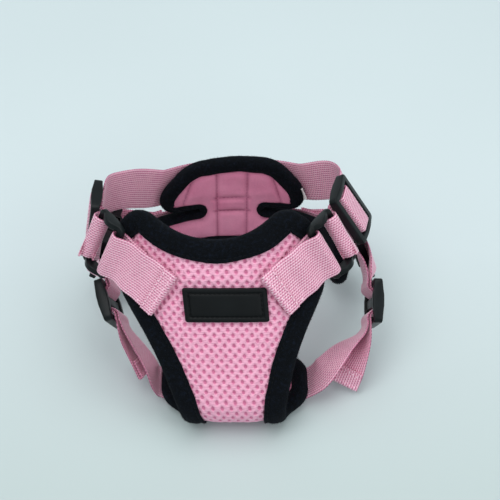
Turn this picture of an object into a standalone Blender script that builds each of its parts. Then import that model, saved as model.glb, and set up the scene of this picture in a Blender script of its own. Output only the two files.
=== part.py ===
"""Dog harness with padded chest and back, four webbing straps, glides and two side-release buckles.

World frame: +X right, +Y from chest to back, +Z up. The harness stands on the ground at z = 0.
"""
import math

import bmesh
import bpy
from mathutils import Matrix, Vector

MM = 0.001
GAP = 0.3 * MM

# Webbing
SHOULDER_WEB_WIDTH = 25.0 * MM
GIRTH_WEB_WIDTH = 20.0 * MM
SPINE_WEB_WIDTH = 15.0 * MM
WEB_THICKNESS = 1.2 * MM
WEB_PLAY = 0.75 * MM
LOOP_SLACK = 0.7 * MM

# Pad layers and bound edge
FOAM_THICKNESS = 2.4 * MM
MESH_THICKNESS = 1.0 * MM
LINING_THICKNESS = 0.8 * MM
BINDING_WALL = 0.9 * MM
BINDING_PLAY = 0.45 * MM
BINDING_FACE_DEPTH = 10.0 * MM
BINDING_LINING_DEPTH = 6.0 * MM
CHEST_STEP = 3.9 * MM
BACK_STEP = 5.0 * MM

# Chest pad: centre line from neckline down the slope, round the fold and back under the belly
NECK_Y = -17.5 * MM
CHEST_SLOPE = math.radians(53.13)
CHEST_LENGTH = 83.0 * MM
FOLD_RADIUS = 12.0 * MM
BELLY_LENGTH = 31.0 * MM
CHEST_SHIFT = 2.5 * MM
CHEST_LEAN = 0.125
CHEST_FLAT = 8.0 * MM
CHEST_BEND_RADIUS = 58.0 * MM
WAIST_BEND_RADIUS = 110.0 * MM
BELLY_FLAT = 22.0 * MM
BELLY_BEND_RADIUS = 26.0 * MM
NECK_SCOOP = 12.0 * MM
ARM_TIP_RISE = 15.0 * MM
ARM_INNER_HALF = 38.0 * MM
ARM_OUTER_HALF = 52.0 * MM
CHEST_HALF_WIDTH = 57.5 * MM
MID_HALF_WIDTH = 36.0 * MM
WAIST_HALF_WIDTH = 26.0 * MM
BELLY_WING_HALF = 38.0 * MM

# Back pad: flat pattern wrapped round an upright bend
BACK_Y = 68.0 * MM
BACK_RADIUS = 95.0 * MM
BACK_CENTRE_HALF = 42.0 * MM
WING_RADIUS = 25.0 * MM
WING_BEND = math.radians(50.0)
WING_HALF_LENGTH = 90.0 * MM
WING_HEIGHT = 27.0 * MM
WING_RISE = 13.0 * MM
BACK_HEIGHT = 64.0 * MM
DOME_HALF_WIDTH = 44.0 * MM
DOME_TAPER = 6.0 * MM
DOME_SHOULDER = 15.0 * MM
DOME_FOOT = 5.0 * MM
NOTCH_TIP_HALF = 18.0 * MM
NOTCH_WIDTH = 4.0 * MM
NOTCH_HEIGHT = 30.0 * MM
BACK_LEAN = 0.05
BACK_SKEW = 0.08
BACK_FLARE = 2.0 * MM
FLARE_HEIGHT = 20.0 * MM

# Label patch
LABEL_WIDTH = 43.0 * MM
LABEL_HEIGHT = 17.5 * MM
LABEL_THICKNESS = 1.6 * MM
LABEL_CORNER = 2.0 * MM
LABEL_BORDER = 2.4 * MM
LABEL_RECESS = 0.5 * MM
LABEL_S = 33.0 * MM
LABEL_A = 2.0 * MM

# Folded tag on the back pad's right edge
TAG_LENGTH = 8.0 * MM
TAG_WIDTH = 9.0 * MM
TAG_PLACE = 0.35

# Glides and rings
GLIDE_RAIL = 3.2 * MM
GLIDE_END_BAR = 3.6 * MM
GLIDE_SLOT = 5.6 * MM
GLIDE_CENTRE_BAR = 5.4 * MM
GLIDE_END_THICKNESS = 2.6 * MM
GLIDE_MID_THICKNESS = 4.4 * MM
PLASTIC_EDGE = 0.5 * MM
RING_BAR = 3.6 * MM
RING_EYE = 12.0 * MM
RING_FROM_SEAM = 31.0 * MM
CHEST_TAB_A = 27.0 * MM
CHEST_TAB_S = 28.0 * MM
CHEST_TAB_ANGLE = math.radians(38.0)
CHEST_TAB_RETURN = 14.0 * MM
STRAP_SEWN_H = 48.0 * MM
STRAP_SEWN_FROM = 17.0 * MM

# Side-release buckles
SOCKET_LENGTH = 22.0 * MM
SOCKET_THICKNESS = 9.0 * MM
SOCKET_TAIL_THICKNESS = 4.6 * MM
BUCKLE_RAIL = 2.9 * MM
SOCKET_WALL = 1.5 * MM
TAIL_BAR = 2.4 * MM
TAIL_SLOT = 3.6 * MM
WINDOW_START = 9.0 * MM
WINDOW_LENGTH = 5.2 * MM
PLUG_SHOULDER = 3.6 * MM
PLUG_SLOT = 5.0 * MM
PLUG_BAR = 3.4 * MM
PLUG_THICKNESS = 5.0 * MM
TONGUE_HALF_WIDTH = 2.0 * MM
TONGUE_LENGTH = 13.0 * MM
PRONG_THICKNESS = 4.2 * MM
PRONG_LENGTH = 13.2 * MM
PRONG_ROOT_WIDTH = 3.0 * MM
BUTTON_PROUD = 0.4 * MM

# Leash ring
LEASH_WIRE = 3.0 * MM
LEASH_EYE_WIDTH = 18.0 * MM
LEASH_EYE_HEIGHT = 15.0 * MM
LEASH_H = 42.0 * MM
SPINE_LOW = 27.0 * MM

# Chosen places of the free hardware: centre, run along the strap, outward face
SHOULDER_GLIDE = {
    "right": ((63.0, 25.0, 69.5), (0.24, 0.97, -0.03), (0.81, -0.18, 0.56)),
    "left": ((-73.0, 23.0, 67.0), (0.0, 1.0, -0.05), (-0.98, 0.0, 0.17)),
}
GIRTH_GLIDE = {
    "right": ((75.5, -11.0, 34.5), (0.02, 0.84, 0.54), (0.93, 0.18, 0.05)),
    "left": ((-65.0, -10.0, 33.0), (-0.28, 0.87, 0.40), (-0.92, 0.20, -0.10)),
}
BUCKLE_TAIL = {
    "right": ((68.0, 49.0, 34.0), (0.17, -0.97, 0.17), (0.93, 0.20, 0.30)),
    "left": ((-68.0, 49.0, 34.0), (-0.17, -0.97, 0.17), (-0.93, 0.20, 0.30)),
}
# Points that the free webbing passes between the hardware, with the direction of its width
SHOULDER_ROUTE = {
    "right": (((64.0, 46.0, 66.5), (0.35, -0.2, -0.9)), ((57.0, 58.0, 61.0), (0.2, -0.2, -0.95))),
    "left": (((-70.0, 46.0, 64.0), (0.1, 0.1, 0.98)), ((-59.0, 58.0, 58.5), (0.05, 0.15, 0.98))),
}
TAIL_ROUTE = {
    "right": (((71.5, -30.0, 20.0), (-0.3, 0.3, -0.9)), ((64.0, -37.0, 10.0), (-0.5, 0.45, -0.6)),
              ((54.0, -40.0, 2.5), (-0.6, 0.8, 0.0))),
    "left": (((-60.0, -29.0, 19.0), (0.3, 0.3, -0.9)), ((-51.0, -38.0, 9.0), (0.45, 0.6, -0.6)),
             ((-42.0, -41.0, 3.0), (0.6, 0.8, 0.0))),
}
BELLY_ROUTE = {
    "right": (((48.0, -43.0, 15.5), (-0.55, 0.75, -0.35)), ((60.0, -31.0, 23.0), (-0.45, 0.6, -0.65))),
    "left": (((-43.0, -43.0, 15.0), (0.55, 0.75, -0.35)), ((-52.0, -31.0, 21.5), (0.45, 0.6, -0.65))),
}

# Middle of the whole harness on the ground, which becomes the origin
FRAME_CENTRE = Vector((0.0, 2.8, 0.0)) * MM

COLOURS = {
    "pink_mesh": ((0.80, 0.36, 0.52), 0.9, 0.0),
    "pink_webbing": ((0.78, 0.33, 0.50), 0.7, 0.0),
    "pink_lining": ((0.58, 0.17, 0.33), 0.8, 0.0),
    "foam": ((0.62, 0.58, 0.55), 0.9, 0.0),
    "black_tape": ((0.012, 0.014, 0.018), 0.95, 0.0),
    "black_plastic": ((0.03, 0.034, 0.038), 0.45, 0.0),
    "black_rubber": ((0.02, 0.023, 0.027), 0.6, 0.0),
    "steel": ((0.62, 0.62, 0.63), 0.25, 1.0),
    "white_tag": ((0.8, 0.8, 0.8), 0.8, 0.0),
}

FACE_T = FOAM_THICKNESS / 2 + GAP + MESH_THICKNESS
BINDING_TOP = FACE_T + BINDING_PLAY
BINDING_BOTTOM = FOAM_THICKNESS / 2 + GAP + LINING_THICKNESS + BINDING_PLAY
ON_MESH_T = FACE_T + GAP + WEB_THICKNESS / 2
SEWN_T = BINDING_TOP + BINDING_WALL + GAP + WEB_THICKNESS / 2
LAYER_STEP = WEB_THICKNESS + GAP
EDGE_OUT = GAP + BINDING_WALL
BELLY_Z = SEWN_T + WEB_THICKNESS / 2
NECK_Z = BELLY_Z + FOLD_RADIUS * (1.0 + math.cos(CHEST_SLOPE)) + CHEST_LENGTH * math.sin(CHEST_SLOPE)


def material(name):
    made = bpy.data.materials.get(name)
    if made:
        return made
    colour, roughness, metallic = COLOURS[name]
    made = bpy.data.materials.new(name)
    made.use_nodes = True
    shader = made.node_tree.nodes["Principled BSDF"]
    shader.inputs["Base Color"].default_value = (*colour, 1.0)
    shader.inputs["Roughness"].default_value = roughness
    shader.inputs["Metallic"].default_value = metallic
    return made


def add_object(name, mesh, colour):
    mesh.materials.append(material(colour))
    made = bpy.data.objects.new(name, mesh)
    bpy.context.scene.collection.objects.link(made)
    return made


def mesh_from_bmesh(name, bm):
    bmesh.ops.recalc_face_normals(bm, faces=bm.faces)
    if bm.calc_volume(signed=True) < 0.0:
        bmesh.ops.reverse_faces(bm, faces=bm.faces)
    mesh = bpy.data.meshes.new(name)
    bm.to_mesh(mesh)
    bm.free()
    return mesh


def vec(values):
    return Vector(values) * MM - FRAME_CENTRE


def ease(value):
    value = min(1.0, max(0.0, value))
    return value * value * (3.0 - 2.0 * value)


def side_sign(side):
    return 1.0 if side == "right" else -1.0


def filleted(corners, spacing):
    """Closed outline through corners (x, y, radius), sampled about every spacing."""
    outline = []
    count = len(corners)
    for index, (x, y, radius) in enumerate(corners):
        corner = Vector((x, y))
        before = (Vector(corners[index - 1][:2]) - corner).normalized()
        after = (Vector(corners[(index + 1) % count][:2]) - corner).normalized()
        turn = math.pi - before.angle(after)
        if radius == 0.0 or turn < 0.01:
            outline.append(corner)
            continue
        reach = radius * math.tan(turn / 2)
        centre = corner + (before + after).normalized() * (radius / math.cos(turn / 2))
        start = corner + before * reach - centre
        stop = corner + after * reach - centre
        steps = max(2, math.ceil(radius * turn / spacing))
        sweep = start.angle_signed(stop)
        for step in range(steps + 1):
            angle = -sweep * step / steps
            turned = Matrix.Rotation(angle, 2) @ start
            outline.append(centre + turned)
    dense = []
    for here, there in zip(outline, outline[1:] + outline[:1]):
        pieces = max(1, math.ceil((there - here).length / spacing))
        dense.extend(here.lerp(there, piece / pieces) for piece in range(pieces))
    return dense


def mirrored(half):
    """Whole outline from its right half, listed from the top centre down to the bottom centre."""
    left = [(-x, y, radius) for x, y, radius in reversed(half) if x > 1e-9]
    return half + left


# Chest pad

def chest_profile(s):
    """Centre line point, down direction and outward normal at length s."""
    slope = Vector((0.0, -math.cos(CHEST_SLOPE), -math.sin(CHEST_SLOPE)))
    out = Vector((0.0, -math.sin(CHEST_SLOPE), math.cos(CHEST_SLOPE)))
    start = Vector((0.0, NECK_Y, NECK_Z))
    if s <= CHEST_LENGTH:
        return start + slope * s, slope, out
    foot = start + slope * CHEST_LENGTH
    centre = foot - out * FOLD_RADIUS
    turn = math.pi - CHEST_SLOPE
    angle = min((s - CHEST_LENGTH) / FOLD_RADIUS, turn)
    spin = Matrix.Rotation(angle, 3, "X")
    normal = spin @ out
    along = spin @ slope
    point = centre + normal * FOLD_RADIUS
    past = max(0.0, s - CHEST_LENGTH - turn * FOLD_RADIUS)
    return point + along * past, along, normal


def fold_end():
    return CHEST_LENGTH + (math.pi - CHEST_SLOPE) * FOLD_RADIUS


def chest_bend(s):
    """Flat half width and bend radius across the pad at length s."""
    down = ease(s / CHEST_LENGTH)
    radius = 1.0 / ((1.0 - down) / CHEST_BEND_RADIUS + down / WAIST_BEND_RADIUS)
    under = ease((s - CHEST_LENGTH) / (fold_end() - CHEST_LENGTH))
    radius = 1.0 / ((1.0 - under) / radius + under / BELLY_BEND_RADIUS)
    return CHEST_FLAT + (BELLY_FLAT - CHEST_FLAT) * under, radius


def chest_point(a, s, t):
    """World point at a across, s down and t out of the pad's middle layer."""
    centre, along, out = chest_profile(s)
    flat, radius = chest_bend(s)
    side = math.copysign(1.0, a)
    angle = max(0.0, abs(a) - flat) / radius
    across = min(abs(a), flat) + (radius + t) * math.sin(angle)
    deep = (radius + t) * math.cos(angle) - radius
    point = centre + Vector((side * across, 0.0, 0.0)) + out * deep
    point.x += CHEST_SHIFT - CHEST_LEAN * point.z
    return point - FRAME_CENTRE


def chest_frame(a, s, t, heading):
    """Frame on the pad with Y along the heading (across, down) and Z out."""
    return surface_frame(chest_point, a, s, t, heading)


def chest_corners():
    bottom = fold_end() + BELLY_LENGTH
    waist = CHEST_LENGTH + 6.0 * MM
    wing_top = fold_end() + 1.0 * MM
    tip = 11.0 * MM
    half = [
        (0.0, NECK_SCOOP, 47.0 * MM),
        (ARM_INNER_HALF, -ARM_TIP_RISE, tip),
        (ARM_OUTER_HALF, -ARM_TIP_RISE + 10.0 * MM, tip),
        (CHEST_HALF_WIDTH, 22.0 * MM, 24.0 * MM),
        (MID_HALF_WIDTH, 54.0 * MM, 120.0 * MM),
        (WAIST_HALF_WIDTH, waist, 60.0 * MM),
        (WAIST_HALF_WIDTH - 1.0 * MM, wing_top - 5.0 * MM, 9.0 * MM),
        (BELLY_WING_HALF, wing_top + 2.0 * MM, tip),
        (BELLY_WING_HALF, bottom, tip),
    ]
    return mirrored(half)


# Back pad

def back_plan(a):
    """Plan position and outward angle of the back pad's middle layer at a across."""
    side = math.copysign(1.0, a)
    reach = abs(a)
    angle = min(reach, BACK_CENTRE_HALF) / BACK_RADIUS
    x = BACK_RADIUS * math.sin(angle)
    y = BACK_Y - BACK_RADIUS * (1.0 - math.cos(angle))
    bend = min(max(0.0, reach - BACK_CENTRE_HALF) / WING_RADIUS, WING_BEND)
    x += WING_RADIUS * (math.sin(angle + bend) - math.sin(angle))
    y -= WING_RADIUS * (math.cos(angle) - math.cos(angle + bend))
    angle += bend
    straight = max(0.0, reach - BACK_CENTRE_HALF - WING_RADIUS * WING_BEND)
    x += straight * math.cos(angle)
    y -= straight * math.sin(angle)
    return side * x, y, side * angle


def back_point(a, h, t):
    """World point at a across, h up and t out of the back pad's middle layer."""
    x, y, angle = back_plan(a)
    flare = BACK_FLARE * max(0.0, 1.0 - h / FLARE_HEIGHT) ** 2
    out = t + flare + BACK_LEAN * h
    x += out * math.sin(angle)
    y += out * math.cos(angle)
    return Vector((x, y, h + BACK_SKEW * x * h / BACK_HEIGHT)) - FRAME_CENTRE


def back_frame(a, h, t, heading):
    return surface_frame(back_point, a, h, t, heading)


def wing_middle(a):
    """Height of the wing's centre line."""
    rise = max(0.0, abs(a) - NOTCH_TIP_HALF) / (WING_HALF_LENGTH - NOTCH_TIP_HALF)
    return EDGE_OUT + WING_HEIGHT / 2 + WING_RISE * rise


def back_corners():
    low = EDGE_OUT
    tip = NOTCH_WIDTH / 2
    notch = NOTCH_HEIGHT
    half = [
        (0.0, BACK_HEIGHT, 0.0),
        (24.0 * MM, BACK_HEIGHT - 1.0 * MM, 20.0 * MM),
        (DOME_HALF_WIDTH - DOME_TAPER, BACK_HEIGHT - DOME_SHOULDER, 20.0 * MM),
        (DOME_HALF_WIDTH, notch + DOME_FOOT, 8.0 * MM),
        (NOTCH_TIP_HALF, notch + tip, tip * 0.99),
        (NOTCH_TIP_HALF, notch - tip, tip * 0.99),
        (DOME_HALF_WIDTH + 4.0 * MM, notch - tip, 30.0 * MM),
        (WING_HALF_LENGTH, low + WING_RISE + WING_HEIGHT, 12.0 * MM),
        (WING_HALF_LENGTH, low + WING_RISE, 12.0 * MM),
        (NOTCH_TIP_HALF + 8.0 * MM, low, 60.0 * MM),
    ]
    return mirrored(half)


# Building blocks

def frame_from(origin, run, out):
    y = Vector(run).normalized()
    z = (Vector(out) - y * y.dot(Vector(out))).normalized()
    x = y.cross(z)
    placed = Matrix((x, y, z)).transposed().to_4x4()
    placed.translation = origin
    return placed


def surface_frame(place, a, b, t, heading):
    """Frame on a bent pad with Y along the heading in its flat pattern and Z out of its face."""
    step = 0.5 * MM
    here = place(a, b, t)
    run = place(a + heading[0] * step, b + heading[1] * step, t) - here
    side = place(a - heading[1] * step, b + heading[0] * step, t) - here
    out = run.cross(side)
    if out.dot(place(a, b, t + step) - here) < 0.0:
        out = -out
    return frame_from(here, run, out)


def pad_layer(name, outline, place, low, high, cuts, colour):
    """One flat layer of a pad, cut into strips and bent to its place."""
    bm = bmesh.new()
    bm.faces.new([bm.verts.new((point.x, point.y, 0.0)) for point in outline])
    for axis, values in enumerate(cuts):
        normal = Vector((1.0, 0.0, 0.0)) if axis == 0 else Vector((0.0, 1.0, 0.0))
        for value in values:
            everything = bm.verts[:] + bm.edges[:] + bm.faces[:]
            bmesh.ops.bisect_plane(bm, geom=everything, plane_co=normal * value, plane_no=normal,
                                   dist=1e-6)
    bmesh.ops.triangulate(bm, faces=bm.faces)
    lower = {vert: Vector((vert.co.x, vert.co.y)) for vert in bm.verts}
    grown = bmesh.ops.extrude_face_region(bm, geom=bm.faces[:], use_keep_orig=True)
    upper = [item for item in grown["geom"] if isinstance(item, bmesh.types.BMVert)]
    flats = dict(lower)
    flats.update({vert: Vector((vert.co.x, vert.co.y)) for vert in upper})
    raised = set(upper)
    for vert, flat in flats.items():
        vert.co = place(flat.x, flat.y, high if vert in raised else low)
    return add_object(name, mesh_from_bmesh(name, bm), colour)


def binding_profile():
    """Folded tape in section, as (depth in from the pad's edge, height)."""
    round_off = BINDING_WALL * 0.6
    top = BINDING_TOP + BINDING_WALL
    bottom = -BINDING_BOTTOM - BINDING_WALL
    return [
        (BINDING_FACE_DEPTH, BINDING_TOP),
        (BINDING_FACE_DEPTH, top),
        (BINDING_FACE_DEPTH / 2, top),
        (0.0, top),
        (-EDGE_OUT, top - round_off * 2),
        (-EDGE_OUT, bottom + round_off * 2),
        (0.0, bottom),
        (BINDING_LINING_DEPTH, bottom),
        (BINDING_LINING_DEPTH, -BINDING_BOTTOM),
        (-GAP, -BINDING_BOTTOM),
        (-GAP, BINDING_TOP),
        (BINDING_FACE_DEPTH / 2, BINDING_TOP),
    ]


def binding(name, outline, place):
    """Tape folded over the whole edge of a pad."""
    count = len(outline)
    area = sum(here.cross(there) for here, there in zip(outline, outline[1:] + outline[:1]))
    inward = math.copysign(1.0, area)
    bm = bmesh.new()
    rings = []
    for index, point in enumerate(outline):
        along = (outline[(index + 1) % count] - outline[index - 1]).normalized()
        into = Vector((-along.y, along.x)) * inward
        ring = []
        for depth, height in binding_profile():
            flat = point + into * depth
            ring.append(bm.verts.new(place(flat.x, flat.y, height)))
        rings.append(ring)
    skin(bm, rings, True)
    return add_object(name, mesh_from_bmesh(name, bm), "black_tape")


def skin(bm, rings, closed):
    """Faces between neighbouring rings of points, with flat ends where the run is open."""
    size = len(rings[0])
    pairs = list(zip(rings, rings[1:]))
    if closed:
        pairs.append((rings[-1], rings[0]))
    for here, there in pairs:
        for index in range(size):
            after = (index + 1) % size
            bm.faces.new((here[index], here[after], there[after], there[index]))
    if not closed:
        bm.faces.new(rings[0])
        bm.faces.new(rings[-1])
    bmesh.ops.triangulate(bm, faces=bm.faces)


def smooth_run(stations, spacing):
    """Points and width directions on a smooth curve through the stations."""
    points = [Vector(point) for point, _ in stations]
    widths = [Vector(width).normalized() for _, width in stations]
    run = []
    last = len(points) - 1
    for index in range(last):
        p1, p2 = points[index], points[index + 1]
        p0 = points[index - 1] if index else p1 * 2 - p2
        p3 = points[index + 2] if index + 2 <= last else p2 * 2 - p1
        span = (p2 - p1).length
        before = span / max(span, (p1 - p0).length)
        after = span / max(span, (p3 - p2).length)
        m1 = (p2 - p0) * 0.5 if before == 1.0 else ((p1 - p0).normalized() + (p2 - p1).normalized()) * span / 2
        m2 = (p3 - p1) * 0.5 if after == 1.0 else ((p2 - p1).normalized() + (p3 - p2).normalized()) * span / 2
        m1 = m1.normalized() * min(m1.length, span)
        m2 = m2.normalized() * min(m2.length, span)
        steps = max(1, round(span / spacing))
        for step in range(steps):
            u = step / steps
            point = (p1 * (2 * u ** 3 - 3 * u ** 2 + 1) + m1 * (u ** 3 - 2 * u ** 2 + u)
                     + p2 * (3 * u ** 2 - 2 * u ** 3) + m2 * (u ** 3 - u ** 2))
            run.append((point, widths[index].lerp(widths[index + 1], u).normalized()))
    run.append((points[-1], widths[-1]))
    return run


def ribbon(name, stations, width, colour="pink_webbing", spacing=5.0 * MM):
    """Flat webbing along its stations."""
    run = smooth_run(stations, spacing)
    bm = bmesh.new()
    rings = []
    for index, (point, across) in enumerate(run):
        before = run[max(0, index - 1)][0]
        after = run[min(len(run) - 1, index + 1)][0]
        along = (after - before).normalized()
        face = along.cross(across).normalized()
        across = face.cross(along)
        half = across * width / 2
        thick = face * WEB_THICKNESS / 2
        corners = (point - half - thick, point + half - thick, point + half + thick, point - half + thick)
        rings.append([bm.verts.new(corner) for corner in corners])
    skin(bm, rings, False)
    return add_object(name, mesh_from_bmesh(name, bm), colour)


def windowed_plate(name, frame, xs, ys, holes, thickness, colour):
    """Moulded plate from a grid of cells, open at the holes, with a thickness at each y."""
    bm = bmesh.new()
    columns = len(xs)

    def layer(sign):
        return [[bm.verts.new((x, y, sign * thick / 2)) for x in xs] for y, thick in zip(ys, thickness)]

    top = layer(1.0)
    bottom = layer(-1.0)
    solid = {(row, column) for row in range(len(ys) - 1) for column in range(columns - 1)}
    solid -= set(holes)
    for row, column in solid:
        for grid in (top, bottom):
            bm.faces.new((grid[row][column], grid[row][column + 1],
                          grid[row + 1][column + 1], grid[row + 1][column]))
        walls = {
            (row - 1, column): ((row, column), (row, column + 1)),
            (row + 1, column): ((row + 1, column), (row + 1, column + 1)),
            (row, column - 1): ((row, column), (row + 1, column)),
            (row, column + 1): ((row, column + 1), (row + 1, column + 1)),
        }
        for neighbour, (one, two) in walls.items():
            if neighbour not in solid:
                bm.faces.new((top[one[0]][one[1]], top[two[0]][two[1]],
                              bottom[two[0]][two[1]], bottom[one[0]][one[1]]))
    loose = [vert for vert in bm.verts if not vert.link_faces]
    bmesh.ops.delete(bm, geom=loose, context="VERTS")
    made = add_object(name, mesh_from_bmesh(name, bm), colour)
    made.matrix_world = frame
    round_edges(made, PLASTIC_EDGE)
    return made


def round_edges(made, width):
    bevel = made.modifiers.new("rounded edges", "BEVEL")
    bevel.width = width
    bevel.segments = 1
    bevel.limit_method = "ANGLE"
    bevel.angle_limit = math.radians(35.0)


def prism(name, outline, low, high, plane, frame, colour):
    """Outline extruded between two heights; plane names the two axes that it is drawn on."""
    bm = bmesh.new()
    rings = []
    for level in (low, high):
        ring = []
        for first, second in outline:
            point = {"XY": (first, second, level), "YZ": (level, first, second)}[plane]
            ring.append(bm.verts.new(point))
        rings.append(ring)
    size = len(outline)
    for index in range(size):
        after = (index + 1) % size
        bm.faces.new((rings[0][index], rings[0][after], rings[1][after], rings[1][index]))
    bm.faces.new(rings[0])
    bm.faces.new(rings[1])
    made = add_object(name, mesh_from_bmesh(name, bm), colour)
    made.matrix_world = frame
    return made


def block(name, low, high, frame, colour="black_plastic"):
    outline = [(low[0], low[1]), (high[0], low[1]), (high[0], high[1]), (low[0], high[1])]
    return prism(name, outline, low[2], high[2], "XY", frame, colour)


def combine(made, other, operation):
    other.hide_render = True
    other.display_type = "WIRE"
    step = made.modifiers.new(other.name, "BOOLEAN")
    step.operation = operation
    step.solver = "EXACT"
    step.object = other


def wire_loop(name, path, normal, diameter, colour):
    """Round wire bent into a closed flat loop."""
    sides = 10
    count = len(path)
    bm = bmesh.new()
    rings = []
    for index, point in enumerate(path):
        along = (path[(index + 1) % count] - path[index - 1]).normalized()
        out = along.cross(normal)
        ring = []
        for side in range(sides):
            angle = 2 * math.pi * side / sides
            offset = out * math.cos(angle) + normal * math.sin(angle)
            ring.append(bm.verts.new(point + offset * diameter / 2))
        rings.append(ring)
    skin(bm, rings, True)
    return add_object(name, mesh_from_bmesh(name, bm), colour)


# Hardware

def glide_sizes(web):
    half = web / 2 + WEB_PLAY
    slot_end = GLIDE_CENTRE_BAR / 2 + GLIDE_SLOT
    return half, slot_end, slot_end + GLIDE_END_BAR


def glide(name, frame, web):
    """Three-bar glide, its bars along X and its strap along Y."""
    half, slot_end, end = glide_sizes(web)
    xs = (-half - GLIDE_RAIL, -half, half, half + GLIDE_RAIL)
    middle = GLIDE_CENTRE_BAR / 2
    ys = (-end, -slot_end, -middle, middle, slot_end, end)
    near_end = GLIDE_END_THICKNESS + 0.5 * MM
    thickness = (GLIDE_END_THICKNESS, near_end, GLIDE_MID_THICKNESS,
                 GLIDE_MID_THICKNESS, near_end, GLIDE_END_THICKNESS)
    return windowed_plate(name, frame, xs, ys, ((1, 1), (3, 1)), thickness, "black_plastic")


def ring_frame(side):
    """Shoulder ring: Y leads from the bar that the chest tab holds to the bar of the shoulder strap."""
    sign = side_sign(side)
    heading = (sign * math.cos(CHEST_TAB_ANGLE), -math.sin(CHEST_TAB_ANGLE))
    bar_height = SEWN_T + GAP + bar_reach(RING_BAR, GLIDE_END_THICKNESS + 0.4 * MM)
    reach = RING_FROM_SEAM
    placed = chest_frame(sign * CHEST_TAB_A + heading[0] * reach, CHEST_TAB_S + heading[1] * reach,
                         bar_height, heading)
    forward = placed.to_3x3() @ Vector((0.0, (RING_EYE + RING_BAR) / 2, 0.0))
    placed.translation += forward
    return placed


def shoulder_ring(side):
    half = SHOULDER_WEB_WIDTH / 2 + WEB_PLAY
    xs = (-half - GLIDE_RAIL, -half, half, half + GLIDE_RAIL)
    eye = RING_EYE / 2
    ys = (-eye - RING_BAR, -eye, 0.0, eye, eye + RING_BAR)
    thin = GLIDE_END_THICKNESS
    thickness = (thin, thin + 0.4 * MM, GLIDE_MID_THICKNESS, thin + 0.4 * MM, thin)
    name = f"shoulder_ring_{side}"
    return windowed_plate(name, ring_frame(side), xs, ys, ((1, 1), (2, 1)), thickness, "black_plastic")


def local_stations(frame, points):
    """Stations at (y, z) in a hardware frame, with the webbing's width along its X."""
    across = frame.to_3x3() @ Vector((1.0, 0.0, 0.0))
    return [(frame @ Vector((0.0, y, z)), across) for y, z in points]


def bar_turn(centre, clearance, start, stop, steps):
    """Points round a bar at (y, z), from one angle to another in degrees."""
    y, z = centre
    return [(y + clearance * math.cos(math.radians(start + (stop - start) * step / steps)),
             z + clearance * math.sin(math.radians(start + (stop - start) * step / steps)))
            for step in range(steps + 1)]


# Straps

def chest_tab(side):
    """Webbing sewn to the chest, round the ring's bar and back under itself."""
    sign = side_sign(side)
    heading = Vector((sign * math.cos(CHEST_TAB_ANGLE), -math.sin(CHEST_TAB_ANGLE)))
    start = Vector((sign * CHEST_TAB_A, CHEST_TAB_S))
    placed = ring_frame(side)
    across = placed.to_3x3() @ Vector((1.0, 0.0, 0.0))

    def on_pad(reach, height):
        flat = start + heading * reach
        here = chest_frame(flat.x, flat.y, height + GAP, heading)
        return here.translation, here.to_3x3() @ Vector((1.0, 0.0, 0.0))

    lap = RING_FROM_SEAM - CHEST_TAB_RETURN
    upper = SEWN_T + LAYER_STEP + GAP
    stations = [on_pad(0.0, SEWN_T), on_pad(lap / 2, SEWN_T), on_pad(lap - 5.0 * MM, SEWN_T),
                on_pad(lap + 1.0 * MM, upper), on_pad(RING_FROM_SEAM - 6.0 * MM, upper + GAP)]
    bar = -(RING_EYE + RING_BAR) / 2
    clearance = bar_reach(RING_BAR, GLIDE_END_THICKNESS + 0.4 * MM)
    turn = bar_turn((bar, 0.0), clearance, 110.0, -80.0, 6)
    stations += local_stations(placed, turn)
    stations += [on_pad(RING_FROM_SEAM - 7.0 * MM, SEWN_T), on_pad(lap, SEWN_T)]
    return ribbon(f"chest_webbing_{side}", stations, SHOULDER_WEB_WIDTH)


def bar_reach(depth, thickness):
    """Distance from a bar's middle to the middle of the webbing turned round it."""
    return math.hypot(depth, thickness) / 2 + LOOP_SLACK + WEB_THICKNESS / 2


def bar_loop(frame, bar_y, reach, target):
    """Stations half round a bar at (bar_y, 0), both strands leading to the target; outer strand first."""
    centre = Vector((0.0, bar_y, 0.0))
    way = frame.inverted() @ target - centre
    first = math.degrees(math.atan2(way.y, -way.z))
    return local_stations(frame, bar_turn((bar_y, 0.0), reach, first, first + 180.0, 6))


def glide_levels(level):
    """Heights under the end bars and over the centre bar, and the webbing's place in the slot."""
    half_layer = WEB_THICKNESS / 2
    below = -(GLIDE_END_THICKNESS + 0.5 * MM) / 2 - GAP - half_layer - (1 - level) * LAYER_STEP
    above = GLIDE_MID_THICKNESS / 2 + GAP + half_layer + level * LAYER_STEP
    edge = GLIDE_CENTRE_BAR / 2 + GAP + half_layer + level * LAYER_STEP * 1.15
    return below, above, edge


def glide_pass(level):
    """(y, z) points of one of two webbing layers through a glide, level 0 nearest the centre bar."""
    below, above, edge = glide_levels(level)
    _, slot_end, end = glide_sizes(0.0)
    rise = [(-end - 4.0 * MM, below), (-end, below), (-slot_end + 0.9 * MM, below), (-edge - 0.3 * MM, 0.0),
            (-edge - 0.1 * MM, above - 1.8 * MM), (-edge + 0.3 * MM, above - 0.25 * MM),
            (-edge + 1.7 * MM, above)]
    return rise + [(-y, z) for y, z in reversed(rise)]


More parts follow.
